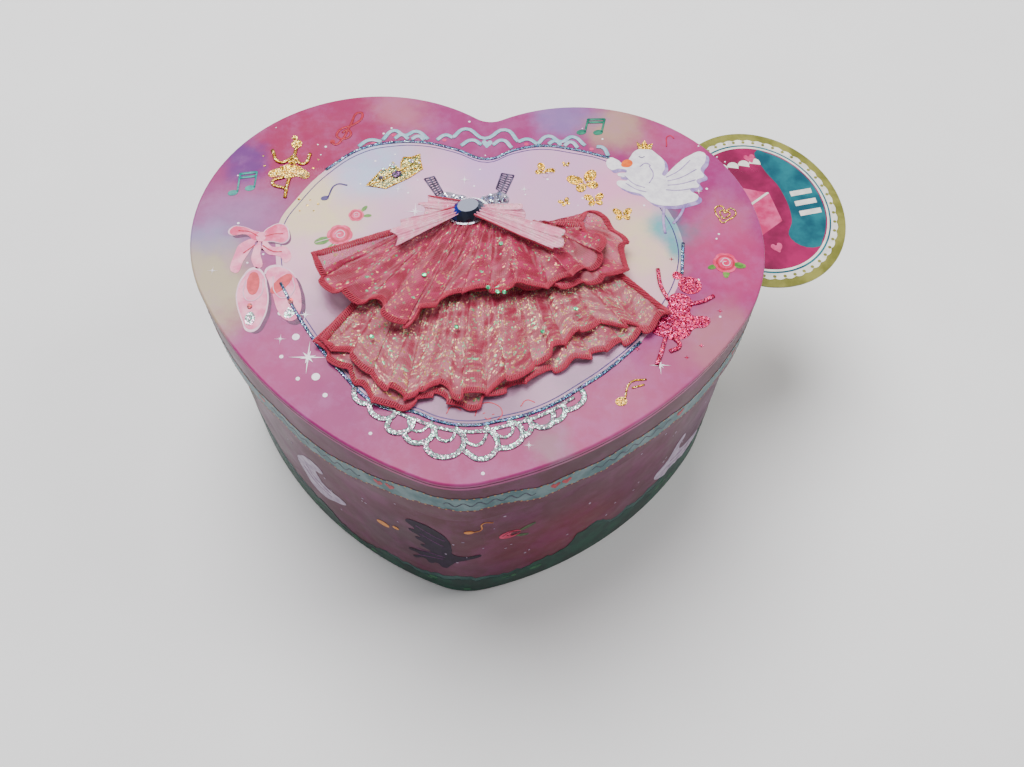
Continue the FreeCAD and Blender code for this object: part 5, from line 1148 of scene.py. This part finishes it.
hill_top = [(s, max(z + 0.9 * math.sin(s * 0.9) * math.sin(s * 0.23) + 0.5 * math.sin(s * 2.3), 1.5))
            for s, z in hill_top]
far_top = [(s, z + 2.2 * math.sin(s * 0.08 + 2) + 1.6) for s, z in hill_top]
wall_plate("far_hills", [far_top + [(228, 0.3), (-228, 0.3)]], hill_light, 0.02, sharp=True)
wall_plate("hills", [hill_top + [(229, 0.3), (-229, 0.3)]], hill_ink, 0.07, sharp=True)
shrub = ink("shrub", (44, 120, 96), (86, 142, 108), 0.5, 0.5)
random.seed(12)
bushes = []
for k in range(90):
    s = random.uniform(-220, 220)
    top = along(HILLS, (s + 230) / 460)[1]
    bushes.append(oval(s, random.uniform(2.5, max(top - 2.5, 3)), random.uniform(0.8, 2.4),
                       random.uniform(0.5, 1.2), 0, 7))
wall_plate("bushes", bushes[:45], shrub, 0.12)
wall_plate("bushes_small", [grown(b, 0.6) for b in bushes[45:]], hill_light, 0.14)
plum_ink = ink("plum_ink", (58, 18, 66), (76, 28, 84), 0.6, 0.3, 0.0)
BIRD = [(-17.5, 53), (-12, 55.5), (-6, 53), (-3, 47), (-2.4, 40), (-2, 36), (2, 34.6), (7, 35), (3, 32),
        (-1, 29.5), (-3, 26), (-6, 21.5), (-8, 24), (-11, 21.5), (-12.5, 24), (-17, 21), (-14.5, 26),
        (-18.5, 27), (-13.5, 30), (-10, 33), (-13.5, 36), (-11.5, 38), (-15, 41), (-13, 43), (-17, 46),
        (-14.6, 48)]
wall_plate("bird", [BIRD], plum_ink, 0.06)
mauve_ink = ink("mauve_ink", (140, 78, 140), (160, 98, 156), 0.5)
wall_line("bird_feathers", [[(-4.4, 47), (-9, 49), (-14, 52)], [(-5, 42), (-9, 44), (-13, 46)],
                            [(-5, 32), (-9, 32), (-15, 31)],
                            [(-5.6, 30), (-10, 28), (-15, 25)]], 0.35, mauve_ink, 0.1)
grey_ink = ink("grey_ink", (186, 172, 190), (212, 202, 214), 0.5, 0.3)
SWAN_LEFT = [(-65, 40), (-62, 46), (-57.4, 50.6), (-52.6, 51), (-50.6, 48), (-52.6, 45.8), (-54.6, 44.6),
             (-54, 40), (-52.6, 37), (-49, 36), (-43, 34.6), (-44.6, 31.4), (-49, 28), (-54, 24), (-60, 24.6),
             (-63, 31)]
wall_plate("swan_left", [SWAN_LEFT], grey_ink, 0.06)
wall_plate("swan_right", [[(s + 6, z) for s, z in ((70, 26), (76, 30), (80, 38), (83, 40), (84, 37), (82, 33),
                                                   (84, 28), (92, 24), (98, 20), (92, 15),
                                                    (84, 14), (76, 17))]], grey_ink, 0.06)
wall_plate("swan_far_left", [[(s - 80, z) for s, z in SWAN_LEFT]], grey_ink, 0.06)
wall_plate("swan_far_right", [[(-s + 82, z) for s, z in SWAN_LEFT]], grey_ink, 0.06)
wall_line("swan_wings", [[(-62, 38), (-58, 32), (-50, 30)], [(-60, 42), (-57, 36), (-50, 33)],
                         [(84, 26), (90, 24), (98, 21)], [(84, 22), (90, 20), (96, 18)],
                         [(-142, 38), (-138, 32), (-130, 30)], [(144, 38), (140, 32), (132, 30)]], 0.4,
          mauve_ink, 0.1)
amber_ink = ink("amber_ink", (208, 150, 96), (222, 176, 120), 0.45)
wall_line("wall_note", [[(3.8, 56), (7, 56.4), (8, 61.6), (11, 60.4)]], 0.5, amber_ink, 0.08)
wall_plate("wall_note_head", [oval(3.4, 55.8, 1.5, 1.1), oval(-27, 39, 2.4, 1.8), oval(-22, 41, 1.2, 1.0)],
           amber_ink, 0.08)
pink_ink = ink("pink_ink", (198, 78, 116), (214, 112, 144), 0.5)
for tag, cx, cz, r in (("front", 16.5, 47, 3.6), ("left", -100, 44, 5), ("right", 120, 44, 5)):
    wall_plate(f"wall_rose_{tag}", [oval(cx + 0.5 * r, cz, 0.5 * r, 0.38 * r, 0, 8),
                                    oval(cx, cz, r, 0.72 * r, 0, 9)],
               pink_ink, 0.05)
    wall_line(f"wall_rose_folds_{tag}", [[(cx - r * 0.7, cz), (cx, cz + r * 0.5), (cx + r * 0.6, cz),
                                          (cx, cz - r * 0.35), (cx - r * 0.3, cz + 0.1)]],
              0.4, maroon_ink, 0.1)
    wall_plate(f"wall_rose_leaves_{tag}", [petal(cx + r * 0.9, cz + 1, r * 1.6, r * 0.7, 24),
                                           petal(cx + r * 0.5, cz - r * 0.6, r * 1.4, r * 0.6, -28)],
               ink(f"wall_leaf_{tag}", (96, 112, 84), (120, 134, 100), 0.5), 0.04)
random.seed(21)
dust = [oval(random.uniform(-220, 220), random.uniform(24, 67), random.uniform(0.2, 0.5),
             random.uniform(0.2, 0.5), 0, 6) for k in range(110)]
wall_plate("wall_dust", dust, grey_ink, 0.05)

# ---- card tag ----------------------------------------------------------------------------------
# An oval card with an olive edge, a white scalloped ring, a fine teal line and a magenta picture of a pink
# box. It is stiff coated card, printed on its face and die-cut, and it is only tucked in beside the lid.
TAG_X, TAG_Y, TAG_TURN, TAG_TOP = 96.2, 53.9, 16.8, 69.8
TAG_HALF_WIDE, TAG_HALF_TALL = 29.9, 35.3


def on_tag(points):
    """Points given across and along the oval, from its middle."""
    c, s = math.cos(math.radians(TAG_TURN)), math.sin(math.radians(TAG_TURN))
    return [(TAG_X + a * c - b * s, TAG_Y + a * s + b * c) for a, b in points]


def tag_oval(share):
    """An oval round the tag's middle, at a share of its size."""
    return oval(TAG_X, TAG_Y, TAG_HALF_WIDE * share, TAG_HALF_TALL * share, TAG_TURN, 40)


def tag_plate(name, outlines, rise, material, sharp=False):
    return plate(name, outlines, TAG_TOP + rise, material, "tag", sharp, 0.02)


olive_ink = ink("olive_ink", (150, 150, 96), (176, 174, 122), 0.45, 0.15, 0.3)
tag_white = ink("tag_white", (232, 230, 226), (248, 246, 242), 0.4, 0.3, 0.3)
tag_magenta = ink("tag_magenta", (150, 44, 106), (186, 74, 134), 0.4, 0.08, 0.3)
tag_teal = ink("tag_teal", (46, 120, 134), (78, 152, 160), 0.4, 0.1, 0.3)
tag_pink = ink("tag_pink", (206, 96, 144), (226, 140, 176), 0.4, 0.2, 0.3)
dress_node(["card_tag"], olive_ink)
scallops = []
for k in range(184):
    a = 2 * math.pi * k / 184
    swell = 0.895 + 0.018 * abs(math.sin(a * 23))
    scallops.append((TAG_HALF_WIDE * swell * math.cos(a), TAG_HALF_TALL * swell * math.sin(a)))
tag_plate("tag_scallops", [on_tag(scallops)], 0.005, tag_white, True)
turns = [2 * math.pi * k / 46 for k in range(46)]
lace_holes = on_tag([(TAG_HALF_WIDE * 0.875 * math.cos(a), TAG_HALF_TALL * 0.875 * math.sin(a))
                     for a in turns])
tag_plate("tag_lace_holes", [oval(x, y, 0.6, 0.6, 0, 6) for x, y in lace_holes], 0.03, olive_ink)
tag_plate("tag_ring", [tag_oval(0.835)], 0.03, tag_teal)
tag_plate("tag_ring_white", [tag_oval(0.815)], 0.052, tag_white)
tag_plate("tag_picture", [tag_oval(0.79)], 0.074, tag_magenta)
arc = [(23.2 * math.cos(a), 27.4 * math.sin(a)) for a in (math.radians(-52 + 8 * k) for k in range(16))]
tag_plate("tag_side", [on_tag(arc + [(8, 17), (10.6, 6), (9.6, -8), (6, -16)])], 0.096, tag_teal)
bars = [on_tag([(13.4, 4 - drop), (21.4, 4 - drop), (21.2, 1.8 - drop), (13.2, 1.8 - drop)])
        for drop in (4.6 * k for k in range(3))]
tag_plate("tag_side_bars", bars, 0.118, tag_white, True)
tag_plate("tag_box", [on_tag([(-14, -8), (-4, -13), (6, -8), (6, 5), (-4, 10), (-14, 5)])], 0.096, tag_pink,
          True)
tag_plate("tag_box_edges", [on_tag([(-14, 5), (-4, 0), (6, 5), (5.4, 5.6), (-4, 1), (-13.4, 5.6)]),
                            on_tag([(-4.4, 0), (-4.4, -12.6), (-3.6, -12.6), (-3.6, 0)])], 0.118, tag_white,
          True)
marks = [on_tag([(-16 + 4.2 * k, 17 + 1.4 * math.sin(k)), (-13.2 + 4.2 * k, 18.4), (-14 + 4.2 * k, 21.6),
                 (-17 + 4.2 * k, 20.4)]) for k in range(6)]
tag_plate("tag_marks", marks, 0.118, tag_white)
tag_plate("tag_hearts", [little_heart(*on_tag([p])[0], 4, 20)
                         for p in ((-4, 6.8), (-15, -12), (0, -19), (5, 22))], 0.125, tag_pink)

# ---- metals ------------------------------------------------------------------------------------
# Hinges, key, gears, comb and springs. Drawn and turned metals have fine streaks in the finish and a little
# tarnish; the movement's frame is die-cast zinc with a grain.
def metal(name, bright, dull, rough, streak=(0.15, 3.0, 3.0), grain=0.01, coat=0.0):
    made, tree, shader = blank(name, rough=rough, metal=1.0, coat=coat)
    where = millimetres(tree)
    drawn = node(tree, "Mapping", {0: where, 3: streak})
    lines = speckle(tree, drawn.outputs[0], 2.0, 5.0).outputs[0]
    stain = speckle(tree, where, 0.12, 5.0).outputs[0]
    tree.links.new(mixed(tree, ramp(tree, stain, 0.35, 0.7), rgb(*bright), rgb(*dull)),
                   shader.inputs["Base Color"])
    tree.links.new(ramp(tree, lines, 0.2, 0.8, rough * 0.7, rough * 1.35), shader.inputs["Roughness"])
    bumped(tree, shader, lines, grain)
    return made


gold_metal = metal("gold_metal", (222, 186, 112), (190, 150, 84), 0.24)
steel = metal("steel", (196, 198, 202), (158, 160, 166), 0.3)
brass = metal("brass", (212, 176, 96), (176, 140, 74), 0.28, (3.0, 3.0, 0.2))
blued = metal("blued_spring", (84, 94, 128), (60, 62, 84), 0.26)
nickel = metal("nickel", (214, 214, 212), (186, 186, 184), 0.16, (1.0, 1.0, 1.0), 0.004, 0.2)
zinc = metal("zinc", (172, 174, 176), (138, 140, 144), 0.5, (1.4, 1.4, 1.4), 0.05)
dress_node(["case_rivets", "lid_rivets", "key_escutcheon", "hinge_case_leaf_left", "hinge_case_leaf_right",
            "hinge_lid_leaf_left", "hinge_lid_leaf_right"], gold_metal)
dress_node(["hinge_pin_left", "hinge_pin_right", "comb_screws", "bridge_screws", "movement_screws", "comb",
            "winding_shaft", "cylinder_arbor", "governor_arbor", "fan_arbor", "stop_wire"], steel)
dress_node(["spring_barrel", "barrel_cover", "top_bridge", "drive_gear", "cylinder_pinion", "music_cylinder",
            "cylinder_wheel", "governor_pinion", "governor_wheel", "fan_pinion"], brass)
dress_node(["mainspring"], blued)
dress_node(["winding_key", "dancer_spring"], nickel)
dress_node(["movement_frame"], zinc)

# ---- papers, boards and plastics inside --------------------------------------------------------
# Pink lining paper with a print of small pale dots, glued over plain boards, a brown base, and moulded
# plastics for the turntable, the fan and the mirror's surround.
def dotted_paper(name, ground, shade, dot, pitch):
    made, tree, shader = blank(name, rough=0.62)
    where = millimetres(tree)
    cells = node(tree, "TexVoronoi", {"Vector": where, "Scale": 1.0 / pitch, "Randomness": 0.25})
    base = mixed(tree, ramp(tree, speckle(tree, where, 0.08, 5.0).outputs[0], 0.35, 0.65), rgb(*ground),
                 rgb(*shade))
    spot = ramp(tree, cells.outputs["Distance"], 0.19, 0.15)
    tree.links.new(mixed(tree, number(tree, "MULTIPLY", spot, 0.7), base, rgb(*dot)),
                   shader.inputs["Base Color"])
    bumped(tree, shader, speckle(tree, where, 3.0, 4.0).outputs[0], 0.02)
    return made


def plain_board(name, first, second, rough=0.8, fibre=0.9):
    made, tree, shader = blank(name, rough=rough)
    where = millimetres(tree)
    drawn = node(tree, "Mapping", {0: where, 3: (0.4, 1.4, 1.4)})
    fibres = speckle(tree, drawn.outputs[0], fibre, 6.0, 0.7).outputs[0]
    tree.links.new(mixed(tree, ramp(tree, fibres, 0.3, 0.7), rgb(*first), rgb(*second)),
                   shader.inputs["Base Color"])
    bumped(tree, shader, fibres, 0.05)
    return made


def plastic(name, first, second, rough=0.28, coat=0.2):
    made, tree, shader = blank(name, rough=rough, coat=coat)
    where = millimetres(tree)
    flow = speckle(tree, where, 0.15, 3.0).outputs[0]
    tree.links.new(mixed(tree, flow, rgb(*first), rgb(*second)), shader.inputs["Base Color"])
    tree.links.new(ramp(tree, flow, 0.3, 0.7, rough * 0.8, rough * 1.2), shader.inputs["Roughness"])
    bumped(tree, shader, speckle(tree, where, 1.6, 2.0).outputs[0], 0.006)
    return made


lining_paper = dotted_paper("lining_paper", (236, 160, 190), (228, 146, 180), (250, 224, 232), 6.0)
dress_node(["wall_lining", "lid_lining", "cross_board", "bay_side_board", "stage_deck"], lining_paper)
dress_node(["support_posts", "ring_shelf"], plain_board("pink_board", (216, 156, 182), (226, 176, 196)))
dress_node(["base_board"], plain_board("base_board_paper", (134, 112, 98), (158, 136, 120)))
dress_node(["mirror_surround"], plastic("pink_plastic", (236, 130, 176), (240, 146, 186)))
dress_node(["turntable", "governor_fan", "stop_guide"],
           plastic("white_plastic", (236, 232, 232), (244, 240, 240)))
mirror, tree, shader = blank("mirror", rgb(226, 230, 234), 0.03, 1.0)
smear = speckle(tree, millimetres(tree), 0.06, 4.0).outputs[0]
tree.links.new(ramp(tree, smear, 0.4, 0.7, 0.02, 0.09), shader.inputs["Roughness"])
dress_node(["lid_mirror"], mirror)

# ---- velour well floor, ring rolls and felt ----------------------------------------------------
# The rolls are foam wrapped in velour and pushed into the well side by side. Each starts as its solid, is
# made of fine even faces, softened and slightly puckered along its top.
def pile(name, light, deep, height=0.12):
    made, tree, shader = blank(name, rough=0.9, sheen=0.7)
    where = millimetres(tree)
    tuft = speckle(tree, where, 2.6, 6.0, 0.7).outputs[0]
    brushed = speckle(tree, where, 0.09, 4.0).outputs[0]
    tone = mixed(tree, ramp(tree, brushed, 0.35, 0.65), rgb(*light), rgb(*deep))
    tree.links.new(mixed(tree, ramp(tree, tuft, 0.3, 0.75, 0.0, 0.35), tone, rgb(*deep)),
                   shader.inputs["Base Color"])
    bumped(tree, shader, tuft, height)
    return made


velour = pile("velour", (236, 142, 182), (214, 104, 152))
dress_node(["well_floor_lining"], velour)
dress_node(["felt_dots"], pile("felt", (232, 220, 226), (206, 188, 198), 0.2))
bpy.ops.object.select_all(action="DESELECT")
rolls = bpy.data.objects.new("ring_roll", frame["nodes"]["ring_rolls"].data.copy())
bpy.context.collection.objects.link(rolls)
rolls.matrix_world = frame["nodes"]["ring_rolls"].matrix_world.copy()
sealed(rolls)
rolls.select_set(True)
bpy.context.view_layer.objects.active = rolls
bpy.ops.object.transform_apply(location=True, rotation=True, scale=True)
bpy.ops.mesh.separate(type="LOOSE")
roll_pieces = sorted(bpy.context.selected_objects, key=lambda o: o.name)
PUCKERED_FROM = 36.0    # the rolls' tops pucker above this height
for k, roll in enumerate(roll_pieces):
    bpy.ops.object.select_all(action="DESELECT")
    roll.select_set(True)
    bpy.context.view_layer.objects.active = roll
    fine = roll.modifiers.new("fine", "REMESH")
    fine.mode, fine.voxel_size = "VOXEL", 0.9 * MM
    bpy.ops.object.modifier_apply(modifier=fine.name)
    soft = roll.modifiers.new("soft", "SMOOTH")
    soft.factor, soft.iterations = 0.5, 7
    bpy.ops.object.modifier_apply(modifier=soft.name)
    middle = sum(v.co.y for v in roll.data.vertices) / len(roll.data.vertices)
    for v in roll.data.vertices:
        if v.co.z > PUCKERED_FROM * MM:
            v.co.z += 0.22 * MM * math.sin(v.co.x / MM * 0.7 + k) * math.sin((v.co.y - middle) / MM * 0.8 + 1)
    bpy.ops.object.shade_smooth()
    finished(roll, velour, "case")
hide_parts("ring_rolls")

# ---- dancer ------------------------------------------------------------------------------------
# A small dancer moulded in one piece with raised arms: limbs and body run together. Hair, bodice and
# slippers are painted on, and it stands on the spring above the turntable.
DX, DY = 33.5, 38.75
HIPS, SHOULDERS, HEAD, FEET = 61.7, 70.3, 75.4, 48.0


def limb(start, end, r1, r2):
    """A tapered round piece between two places, with round ends."""
    a, b = Vector(start), Vector(end)
    turn_to = (b - a).to_track_quat("Z", "Y").to_euler()
    bpy.ops.mesh.primitive_cone_add(vertices=20, radius1=r1 * MM, radius2=r2 * MM, depth=(b - a).length * MM,
                                    location=(a + b) / 2 * MM, rotation=turn_to)
    bpy.context.object.name = "limb"
    for place, radius in ((a, r1), (b, r2)):
        ball(place, radius, 1.0, 1.0)


def ball(place, radius, deep, tall):
    bpy.ops.mesh.primitive_uv_sphere_add(segments=20, ring_count=12, radius=radius * MM,
                                         location=Vector(place) * MM)
    bpy.context.object.name = "limb"
    bpy.context.object.scale = (1.0, deep, tall)


bpy.ops.object.select_all(action="DESELECT")
for sign in (-1, 1):
    foot = (DX + sign * 0.7, DY - 0.2, FEET + 1.0)
    knee = (DX + sign * 0.95, DY + 0.1, FEET + 7.2)
    limb(foot, knee, 0.62, 0.95)
    limb(knee, (DX + sign * 1.0, DY, HIPS - 0.4), 0.95, 1.35)
    limb((DX + sign * 0.5, DY - 0.3, FEET + 0.25), foot, 0.42, 0.62)
    elbow = (DX + sign * 5.0, DY - 0.3, HEAD + 0.5)
    hand = (DX + sign * 1.5, DY - 0.4, HEAD + 6.2)
    limb((DX + sign * 2.0, DY, SHOULDERS - 0.6), elbow, 0.72, 0.52)
    limb(elbow, hand, 0.52, 0.38)
    ball(hand, 0.55, 0.6, 1.3)
ball((DX, DY, HIPS), 2.1, 0.85, 0.8)
limb((DX, DY, HIPS + 0.6), (DX, DY, SHOULDERS - 4.6), 1.75, 1.4)
limb((DX, DY, SHOULDERS - 4.6), (DX, DY, SHOULDERS - 1.4), 1.4, 2.0)
ball((DX, DY - 0.5, SHOULDERS - 2.0), 1.7, 0.9, 0.8)
limb((DX, DY, SHOULDERS - 0.8), (DX, DY, HEAD - 1.2), 0.78, 0.7)
ball((DX, DY, HEAD), 2.2, 0.95, 1.1)
ball((DX, DY - 2.05, HEAD - 0.2), 0.28, 1.0, 0.9)
ball((DX, DY + 0.35, HEAD + 0.5), 2.3, 0.95, 1.0)
ball((DX, DY + 0.5, HEAD + 3.0), 1.2, 1.0, 0.85)
ball((DX, DY, FEET + 0.2), 0.9, 1.0, 0.5)
for o in bpy.context.scene.objects:
    o.select_set(o.name.startswith("limb"))
bpy.ops.object.join()
dancer = bpy.context.object
dancer.name = dancer.data.name = "dancer"
bpy.ops.object.transform_apply(location=True, rotation=True, scale=True)
fine = dancer.modifiers.new("fine", "REMESH")
fine.mode, fine.voxel_size = "VOXEL", 0.2 * MM
bpy.ops.object.modifier_apply(modifier=fine.name)
soft = dancer.modifiers.new("soft", "SMOOTH")
soft.factor, soft.iterations = 0.5, 4
bpy.ops.object.modifier_apply(modifier=soft.name)
bpy.ops.object.shade_smooth()
doll, tree, shader = blank("doll_plastic", rough=0.36, coat=0.1)
where = millimetres(tree)
place = node(tree, "SeparateXYZ", {0: where})
height, deep = place.outputs[2], place.outputs[1]
tone = mixed(tree, speckle(tree, where, 0.6).outputs[0], rgb(238, 196, 170), rgb(244, 208, 184))
bodice_part = number(tree, "MULTIPLY", number(tree, "GREATER_THAN", height, HIPS - 1.6),
                     number(tree, "LESS_THAN", height, SHOULDERS - 1.6))
tone = mixed(tree, bodice_part, tone, rgb(226, 84, 140))
tone = mixed(tree, number(tree, "LESS_THAN", height, FEET + 2.6), tone, rgb(226, 110, 156))
hairline = number(tree, "GREATER_THAN", number(tree, "ADD", height, number(tree, "MULTIPLY", deep, 1.3)),
                  HEAD + 0.9 + 1.3 * (DY - 0.5))
crown_of_head = node(tree, "VectorMath", {0: where, 1: (DX, DY + 0.4, HEAD + 1.0)},
                     operation="DISTANCE").outputs["Value"]
hair = number(tree, "MULTIPLY", hairline, number(tree, "LESS_THAN", crown_of_head, 3.7))
tone = mixed(tree, hair, tone, mixed(tree, speckle(tree, where, 2.4).outputs[0], rgb(96, 60, 40),
                                     rgb(132, 86, 54)))
for x in (-0.85, 0.85):
    eye = node(tree, "VectorMath", {0: where, 1: (DX + x, DY - 2.0, HEAD + 0.3)},
               operation="DISTANCE").outputs["Value"]
    tone = mixed(tree, number(tree, "LESS_THAN", eye, 0.34), tone, rgb(52, 40, 48))
lips = node(tree, "VectorMath", {0: where, 1: (DX, DY - 2.0, HEAD - 1.05)},
            operation="DISTANCE").outputs["Value"]
tone = mixed(tree, number(tree, "LESS_THAN", lips, 0.36), tone, rgb(196, 64, 84))
tree.links.new(tone, shader.inputs["Base Color"])
bumped(tree, shader, speckle(tree, where, 3.0, 3.0).outputs[0], 0.015)
finished(dancer, doll, "cylinder")
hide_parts("dancer_figure")

# ---- the dancer's tutu -------------------------------------------------------------------------
# Two rounds of stiff tulle, gathered and stitched round the hips, one above the other. Each ripples towards
# its edge and droops a little.
WAIST = 2.0


def tutu(name, radius, height, droop, folds, seed):
    bpy.ops.object.select_all(action="DESELECT")
    bpy.ops.mesh.primitive_grid_add(x_subdivisions=192, y_subdivisions=16, size=1)
    obj = bpy.context.object
    obj.name = obj.data.name = name
    uv = obj.data.uv_layers.active
    places = [(v.co.x + 0.5, 0.5 - v.co.y) for v in obj.data.vertices]
    for loop in obj.data.loops:
        u, v = places[loop.vertex_index]
        uv.data[loop.index].uv = (u * 2 * math.pi * radius, v * (radius - WAIST))
    for vertex, (u, v) in zip(obj.data.vertices, places):
        a = 2 * math.pi * u
        r = WAIST + (radius - WAIST) * v
        ripple = 0.75 * v ** 1.2 * math.sin(folds * a + seed)
        z = height - droop * v ** 1.4 + ripple + 0.25 * v * math.sin(2 * folds * a)
        vertex.co = Vector((DX + r * math.cos(a), DY + r * math.sin(a), z)) * MM
    sealed(obj)
    thick = obj.modifiers.new("thickness", "SOLIDIFY")
    thick.thickness, thick.offset = CLOTH_THICKNESS * MM, 0
    bpy.ops.object.modifier_apply(modifier=thick.name)
    bpy.ops.object.shade_smooth()
    return finished(obj, ribbon_organza, "cylinder")


tutus = [tutu("tutu_upper", 9.6, HIPS + 1.3, 1.2, 14, 0.4), tutu("tutu_lower", 9.9, HIPS + 0.5, 1.9, 12, 1.7)]
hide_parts("dancer_tutu")


for tier, hem, layer in tiers:
    hem_wide = layer.hem_length() * MM
